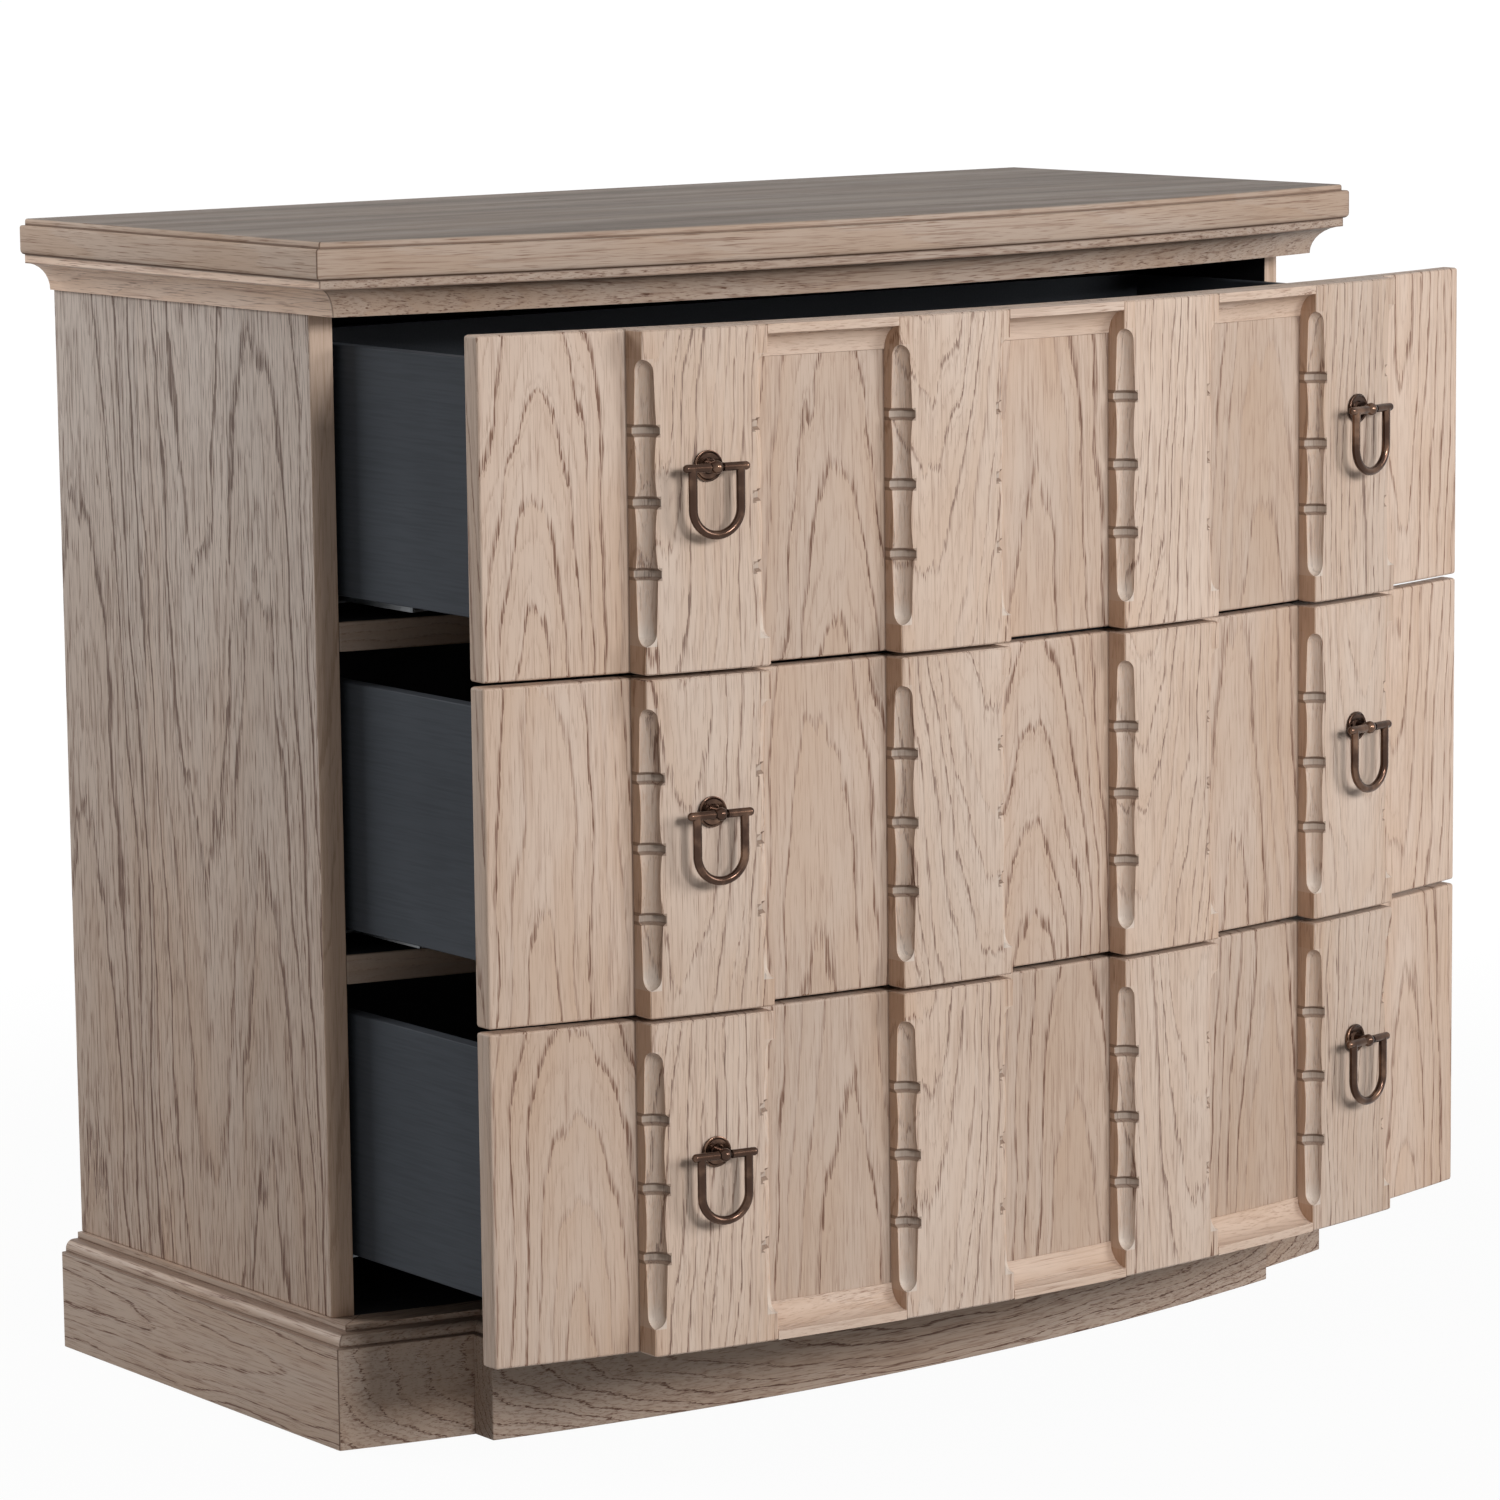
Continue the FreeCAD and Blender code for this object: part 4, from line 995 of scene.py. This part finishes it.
def front_run(profile, half, radius, axis, deep=None, sections=61):
    """A moulding along the bow between its mitres, where offset o ends at x = half + o on either side.

    A deep run goes on behind its mitres to that offset, square at its ends. Two points after the profile's
    first then give its back, and each end has two flat faces: the square one and the mitre.
    """
    ends, least = None, half + profile[0, 0]
    if deep is not None:
        profile = np.insert(profile, 1, section((deep, profile[0, 1]), (deep, profile[1, 1])), axis=0)
        ends = [np.arange(4), np.r_[0, 3:len(profile)]]
    offset, z = profile.T
    x = np.linspace(-1, 1, sections)[:, None] * np.maximum(half + offset, least)
    return bowed_run(np.column_stack([radius + offset, z]), x, axis, ends)


def stepped_run(profile, half, radius, axis, step_half, proud, sections=25):
    """A moulding along the bow that steps forward over the middle, with a return at each end of the step.

    Offset o lies on the radius r + o from its mitre at half + o to the step at step_half + o, and between
    the two steps on the radius r + proud + o.
    """
    offset, z = profile.T
    end, step = half + offset, step_half + offset
    wing = end + (step - end) * np.linspace(0, 1, sections)[:, None]
    middle = (2 * np.linspace(0, 1, 2 * sections)[:, None] - 1) * step
    x = np.concatenate([-wing, middle, wing[::-1]])
    radii = np.concatenate([np.broadcast_to(radius + offset, wing.shape),
                            np.broadcast_to(radius + proud + offset, middle.shape),
                            np.broadcast_to(radius + offset, wing.shape)])
    y = axis - np.sqrt(radii ** 2 - x ** 2)
    return shell(np.stack([x, y, np.broadcast_to(z, x.shape)], -1))


def flute_profile(sizes, span, steps=8):
    """Height and radius of a flute: domed ends, and rings with waisted stretches between them.

    A stretch has the radius waist + flare a², with a from -1 at one ring to 1 at the next.
    """
    waist, node = sizes.flute_radius, sizes.flute_radius + sizes.flute_flare
    angle = np.linspace(0, np.pi / 2, steps)
    dome = np.column_stack([waist * (1 - np.cos(angle)), waist * np.sin(angle)])
    gap = span / (RINGS + 1)
    mouth, flat = sizes.ring_mouth / 2, sizes.ring_flat / 2
    across = np.linspace(-1, 1, steps + 1)[1:-1]
    stretch = np.column_stack([gap / 2 + across * (gap / 2 - mouth), waist + sizes.flute_flare * across ** 2])
    ring = section((-mouth, node), (-flat, sizes.ring_radius), (flat, sizes.ring_radius), (mouth, node))
    lifts = np.arange(1, RINGS + 1)[:, None, None] * section((gap, 0))
    rows = [part + lift for lift in lifts for part in (ring, stretch)]
    return np.concatenate([dome, *rows[:-1], np.abs(dome[::-1] - section((span, 0)))])


def fluted_block(span, heights, flute, faces, axis, ease):
    """A raised block whose front arrises are carved into flutes.

    At each height its plan runs up the left wall, round a hollow quarter circle of the flute's radius about
    the arris, along the bowed face, round the right flute, down the right wall and back along the bow. Past
    the flutes that radius is half the ease, and the two ends are drawn in by the ease.
    """
    round_points, face_points, back_points = 9, 12, 7
    (low, high), (near, far) = heights, faces
    sliver = ease / 2
    z = np.concatenate([[low, low + ease], flute[:, 0] + low, [high - ease, high]])
    radius = np.concatenate([[sliver, sliver], np.maximum(flute[:, 1], sliver), [sliver, sliver]])[:, None]
    inset = np.where((z == low) | (z == high), ease, 0.0)[:, None]
    left, right, face = span[0] + inset, span[1] - inset, far - inset

    def flute_arc(x, sign):
        """The hollow round the arris at x, from the wall to the bowed face."""
        slope = np.arctan(x / np.sqrt(face ** 2 - x ** 2))
        start, end = np.pi / 2, slope if sign > 0 else np.pi + slope
        angle = start + (end - start) * np.linspace(0, 1, round_points)
        return x + radius * np.cos(angle), axis - np.sqrt(face ** 2 - x ** 2) + radius * np.sin(angle)

    left_x, left_y = flute_arc(left, 1)
    right_x, right_y = flute_arc(right, -1)
    face_x = left_x[:, -1:] + (right_x[:, -1:] - left_x[:, -1:]) * np.linspace(0, 1, face_points)[1:-1]
    back_x = right + (left - right) * np.linspace(0, 1, back_points)
    x = np.concatenate([left_x, face_x, right_x[:, ::-1], back_x], axis=1)
    y = np.concatenate([left_y, axis - np.sqrt(face ** 2 - face_x ** 2), right_y[:, ::-1],
                        axis - np.sqrt(near ** 2 - back_x ** 2)], axis=1)
    return shell(np.stack([x, y, np.broadcast_to(z[:, None], x.shape)], -1))


def rail_profile(sizes, face, proud, heights, upper):
    """Radius and height of a rail: a flat band at the edge of the front, then a hollow to the recess."""
    edge, turn = (heights[1], -1) if upper else (heights[0], 1)
    foot = edge + turn * (sizes.rail_band + sizes.rail_cove)
    hollow = arc((proud, foot), sizes.rail_cove, 180, 180 + turn * 90)
    return np.concatenate([section((face, edge), (face, foot)), hollow, section((proud, edge))])


def block_spans(sizes, name):
    """Left and right of the blocks of a drawer, and of the recesses between them."""
    low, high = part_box(f"{name}_blocks")
    starts = np.linspace(low.x, high.x - sizes.block_width, BLOCKS)
    blocks = [(start, start + sizes.block_width) for start in starts.tolist()]
    recesses = [(first[1], second[0]) for first, second in zip(blocks, blocks[1:])]
    return blocks, recesses


class CHEST_OT_top(bpy.types.Operator):
    """Make the bowed top with its stepped and rounded edge"""

    bl_idname = "chest.top"
    bl_label = "Top"

    def execute(self, context):
        sizes, bow = sizes_now(), case_bow()
        low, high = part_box("top_panel")
        half, radius = high.x, bow.axis - low.y
        under, ease, step = sizes.slab_round, sizes.slab_ease, sizes.slab_step
        shoulder = high.z - step
        edge = np.concatenate([arc((under, low.z + under), under, 270, 180, 6),
                               arc((ease, shoulder - ease), ease, 180, 90, 5),
                               section((step, shoulder)),
                               arc((step + ease, high.z - ease), ease, 180, 90, 5)])
        outlines = [slab_outline(half - inset, radius - inset, bow, high.y) for inset in edge[:, 0]]
        add_piece("top_slab", [lofted(outlines, edge[:, 1])], finishes()["top"], "case", ["top_panel"])
        return {"FINISHED"}


class CHEST_OT_mouldings(bpy.types.Operator):
    """Make the cornice, the base frame and the plinth, each in three runs that meet at mitres"""

    bl_idname = "chest.mouldings"
    bl_label = "Mouldings and plinth"

    def execute(self, context):
        sizes, bow = sizes_now(), case_bow()
        oak_x, oak_y = finishes()["runs_x"], finishes()["runs_y"]
        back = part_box("top_panel")[1].y

        def sides(name, profile, half, radius, ease=0.0):
            """The two side runs of a moulding."""
            for hand, sign in HANDS.items():
                run = side_run(profile, half, radius, bow, back, sign)
                add_piece(f"{name}_run_{hand}", [run], oak_y, "case", [f"{name}_{hand}"], ease)

        low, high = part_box("cornice_left")
        half, radius = -low.x, bow.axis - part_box("cornice_front")[0].y
        profile = cornice_profile(sizes, low.x - high.x, low.z, high.z)
        sides("cornice", profile, half, radius)
        run = front_run(profile, half, radius, bow.axis, bow.back - sizes.front_gap - radius)
        add_piece("cornice_run_front", [run], oak_x, "case", ["cornice_front"])

        low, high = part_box("plinth_left")
        front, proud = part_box("plinth_front")[0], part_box("plinth_breakfront")
        half, radius = -low.x, bow.axis - front.y
        profile = board_profile(low.x - high.x, low.z, high.z)
        sides("plinth", profile, half, radius, sizes.arris / 2)
        run = front_run(profile, half, radius, bow.axis)
        add_piece("plinth_run_front", [run], oak_x, "case", ["plinth_front"], sizes.arris / 2)
        step_half, step = proud[1].x, front.y - proud[0].y
        board = bowed_board((-step_half, step_half), (radius, radius + step), (low.z, high.z), bow.axis)
        add_piece("plinth_middle", [board], oak_x, "case", ["plinth_breakfront"], sizes.arris)

        low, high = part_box("base_moulding_left")
        inset = half + low.x
        profile = base_profile(sizes, low.x - high.x, low.z, high.z)
        sides("base_moulding", profile, half - inset, radius - inset)
        run = stepped_run(profile, half - inset, radius - inset, bow.axis, step_half - inset, step)
        add_piece("base_moulding_run_front", [run], oak_x, "case", ["base_moulding_front"])
        return {"FINISHED"}


class CHEST_OT_case(bpy.types.Operator):
    """Make the side panels and the rails that show, and finish the boards inside the case"""

    bl_idname = "chest.case"
    bl_label = "Case"

    def execute(self, context):
        sizes, bow, made = sizes_now(), case_bow(), finishes()
        for hand in HANDS:
            node = f"side_panel_{hand}"
            panel = bow_fronted(node, bow, bow.back - sizes.front_gap, 4)
            add_piece(f"side_board_{hand}", [panel], made["sides"], "case", [node], sizes.arris)
        for node in ("divider_middle", "divider_upper", "top_front_rail"):
            low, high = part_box(node)
            radii = (np.hypot(high.x, bow.axis - high.y), bow.axis - low.y)
            board = bowed_board((low.x, high.x), radii, (low.z, high.z), bow.axis)
            add_piece(f"{node}_board", [board], made["edges"], "case", [node], sizes.arris)
        for node in ("bottom_deck", "back_panel", "top_back_rail", "plinth_back", "glue_blocks"):
            dress(node, made["board"])
        return {"FINISHED"}


class CHEST_OT_fronts(bpy.types.Operator):
    """Make the drawer fronts with their fluted blocks and hollow rails"""

    bl_idname = "chest.fronts"
    bl_label = "Drawer fronts"

    def execute(self, context):
        sizes, bow, made = sizes_now(), drawer_bow(), finishes()
        for name in DRAWERS:
            body = f"{name}_drawer"
            low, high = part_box(f"{name}_front")
            heights = (low.z, high.z)
            board = bowed_board((low.x, high.x), (bow.back, bow.face), heights, bow.axis)
            add_piece(f"{name}_face", [board], made["front"], body, [f"{name}_front"], sizes.soft_arris)
            proud = bow.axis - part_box(f"{name}_blocks")[0].y
            margin = sizes.flute_margin
            flute = flute_profile(sizes, high.z - low.z - 2 * margin) + section((margin, 0))
            blocks, recesses = block_spans(sizes, name)
            shells = [fluted_block(span, heights, flute, (bow.face, proud), bow.axis, sizes.arris)
                      for span in blocks]
            add_piece(f"{name}_fluted_blocks", shells, made["blocks"], body, [f"{name}_blocks"])
            if name != "middle":
                profile = rail_profile(sizes, bow.face, proud, heights, name == "upper")
                rails = [bowed_span(profile, span, bow.axis, sections=13) for span in recesses]
                add_piece(f"{name}_cove_rails", rails, made["rails"], body, [f"{name}_hollow_rails"],
                          sizes.arris / 3)
        return {"FINISHED"}


class CHEST_OT_boxes(bpy.types.Operator):
    """Make the sides of the drawer boxes and paint the boxes"""

    bl_idname = "chest.boxes"
    bl_label = "Drawer boxes"

    def execute(self, context):
        bow, paint = drawer_bow(), finishes()["paint"]
        for name in DRAWERS:
            for hand in HANDS:
                node = f"{name}_side_{hand}"
                side = bow_fronted(node, bow, bow.back, 3)
                add_piece(f"{name}_box_side_{hand}", [side], paint, f"{name}_drawer", [node],
                          sizes_now().arris)
            for part in ("bottom", "back"):
                dress(f"{name}_{part}", paint)
        return {"FINISHED"}


class CHEST_OT_hardware(bpy.types.Operator):
    """Finish the handles and the runners"""

    bl_idname = "chest.hardware"
    bl_label = "Handles and runners"

    def execute(self, context):
        made = finishes()
        dress("case_runners", made["zinc"])
        for name in DRAWERS:
            for part in ("runners", "mid_runners"):
                dress(f"{name}_{part}", made["zinc"])
            for part in ("rosettes", "posts", "bail_left", "bail_right"):
                dress(f"{name}_{part}", made["bronze"])
        return {"FINISHED"}


class CHEST_OT_fittings(bpy.types.Operator):
    """Set the screws of the back panel and of the runners, and the stops at the front of the runners"""

    bl_idname = "chest.fittings"
    bl_label = "Screws and stops"

    def execute(self, context):
        sizes, zinc = sizes_now(), finishes()["zinc"]
        radius = sizes.screw_radius
        dome = arc((0, 0), radius, 0, 80, 5) * (1, sizes.screw_dome)
        head = np.concatenate([section((radius, -radius / 2)), dome])

        low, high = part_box("back_panel")
        inset = 3 * radius
        columns = np.linspace(low.x + inset, high.x - inset, sizes.screw_columns)
        rows = np.linspace(low.z + inset, high.z - inset, sizes.screw_rows)
        places = [(x, high.y, z) for x in columns for z in (rows[0], rows[-1])]
        places += [(x, high.y, z) for x in (columns[0], columns[-1]) for z in rows[1:-1]]
        screws = [turned(head, place, (0, 1, 0)) for place in places]
        add_piece("back_panel_screws", screws, zinc, "case")

        low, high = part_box("case_runners")
        sheet, reach = sizes.runner_sheet, sizes.stop_width / 2
        screws, stops = [], []
        for level, name in enumerate(DRAWERS):
            foot = low.z + level * drawer_pitch()
            for hand, sign in HANDS.items():
                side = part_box(f"{name}_side_{hand}")
                middle = (side[0].x + side[1].x) / 2
                tip = side[0].z - sizes.stop_clear
                stops.append(box_shell((middle - reach, low.y - sheet, foot), (middle + reach, low.y, tip)))
                for y in np.linspace(low.y, high.y, sizes.runner_screws + 2)[1:-1]:
                    place = (sign * (high.x - sheet), y, foot + 2 * radius + sheet)
                    screws.append(turned(head, place, (-sign, 0, 0)))
        add_piece("runner_screws", screws, zinc, "case")
        add_piece("runner_stops", stops, zinc, "case", ease=sheet / 5)
        return {"FINISHED"}


class CHEST_OT_stage(bpy.types.Operator):
    """Set the floor, the light and the camera"""

    bl_idname = "chest.stage"
    bl_label = "Stage"

    def execute(self, context):
        scene, stage = context.scene, context.scene.chest_stage
        self.floor(scene, stage)
        self.world(scene, stage)
        low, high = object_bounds()
        aim = (low + high) / 2
        for name in ("key", "side", "fill"):
            place, size, power = (getattr(stage, f"{name}_{part}") for part in ("place", "size", "power"))
            self.lamp(scene, f"{name}_light", place, aim, size, power)
        self.camera(scene, stage)
        scene.view_settings.view_transform = "Standard"
        return {"FINISHED"}

    @staticmethod
    def seen(root):
        """1 for rays from the camera, and for those that it sees in metal or glass."""
        rays = [root.node("ShaderNodeLightPath", None, None, f"Is {kind} Ray")
                for kind in ("Camera", "Glossy", "Transmission")]
        return rays[0].most(rays[1]).most(rays[2])

    def floor(self, scene, stage):
        """A wide pale floor, nearly white to the camera, that keeps a soft shadow."""
        reach, grey, white = stage.floor_reach, stage.floor_grey, stage.floor_white
        slab = box_shell((-reach, -reach, -stage.floor_thick), (reach, reach, -stage.floor_gap))
        floor = bpy.data.objects.new("floor", mesh_of("floor", [slab]))
        scene.collection.objects.link(floor)
        material, shader, root = new_material("pale_floor")
        feed(shader, Base_Color=(grey, grey, grey, 1), Roughness=0.9, Specular_IOR_Level=0.0)
        glow = root.node("ShaderNodeEmission", None, {"Strength": stage.floor_glow})
        lit = Field(root.tree, shader.outputs[0])
        x, y, _ = root.place()
        share = x.hypot(y).rise(stage.floor_near * MM, stage.floor_far * MM) * (1 - white) + white
        mixed = root.node("ShaderNodeMixShader", None, {0: self.seen(root) * share, 1: lit, 2: glow})
        plug(root.tree.nodes["Material Output"].inputs[0], mixed)
        floor.data.materials.append(material)
        floor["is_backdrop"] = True

    def world(self, scene, stage):
        """Even light from all round, and plain white behind the chest."""
        scene.world = bpy.data.worlds.new("studio")
        scene.world.use_nodes = True
        tree = scene.world.node_tree
        root = Field(tree)
        plain = (1, 1, 1, 1)
        light = tree.nodes["Background"]
        feed(light, Color=plain, Strength=stage.ambient)
        lit = Field(tree, light.outputs[0])
        white = root.node("ShaderNodeBackground", None, {0: plain, 1: 1.0})
        mixed = root.node("ShaderNodeMixShader", None, {0: self.seen(root), 1: lit, 2: white})
        plug(tree.nodes["World Output"].inputs[0], mixed)

    @staticmethod
    def lamp(scene, name, place, aim, size, power):
        """A square soft light that faces the chest."""
        light = bpy.data.lights.new(name, "AREA")
        light.size = size
        light.energy = power
        lamp = bpy.data.objects.new(name, light)
        lamp.location = place
        lamp.rotation_euler = (aim - lamp.location).to_track_quat("-Z", "Y").to_euler()
        scene.collection.objects.link(lamp)

    @staticmethod
    def camera(scene, stage):
        """A camera at the photograph's viewing angle; its focal length is in the photograph's pixels."""
        data = bpy.data.cameras.new("camera")
        data.lens = stage.focal_pixels * data.sensor_width / PHOTO_PIXELS
        camera = bpy.data.objects.new("camera", data)
        place = Matrix.Translation(stage.camera)
        aim = (Matrix.Rotation(-stage.turn, 4, "Z") @ Matrix.Rotation(math.pi / 2 - stage.pitch, 4, "X")
               @ Matrix.Rotation(stage.roll, 4, "Z"))
        camera.matrix_world = place @ aim
        scene.collection.objects.link(camera)
        scene.camera = camera


GROUPS = {"chest_sizes": ChestSizes, "chest_finish": ChestFinish, "chest_stage": ChestStage}
OPERATORS = (CHEST_OT_top, CHEST_OT_mouldings, CHEST_OT_case, CHEST_OT_fronts, CHEST_OT_boxes,
             CHEST_OT_hardware, CHEST_OT_fittings, CHEST_OT_stage)


class CHEST_PT_panel(bpy.types.Panel):
    """The steps that make the chest, in order"""

    bl_idname = "CHEST_PT_panel"
    bl_label = "Block front chest"
    bl_space_type = "VIEW_3D"
    bl_region_type = "UI"
    bl_category = "Chest"

    def draw(self, context):
        for operator in OPERATORS:
            self.layout.operator(operator.bl_idname)


def register():
    """Make the settings, the operators and the panel known to Blender."""
    for name, group in GROUPS.items():
        bpy.utils.register_class(group)
        setattr(bpy.types.Scene, name, bpy.props.PointerProperty(type=group))
    for made in (*OPERATORS, CHEST_PT_panel):
        bpy.utils.register_class(made)


def unregister():
    """Take them back."""
    for made in (CHEST_PT_panel, *reversed(OPERATORS)):
        bpy.utils.unregister_class(made)
    for name, group in GROUPS.items():
        delattr(bpy.types.Scene, name)
        bpy.utils.unregister_class(group)


def main():
    """Make every piece and the stage."""
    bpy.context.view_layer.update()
    register()
    for operator in OPERATORS:
        group, name = operator.bl_idname.split(".")
        getattr(getattr(bpy.ops, group), name)()


if __name__ == "__main__":
    main()
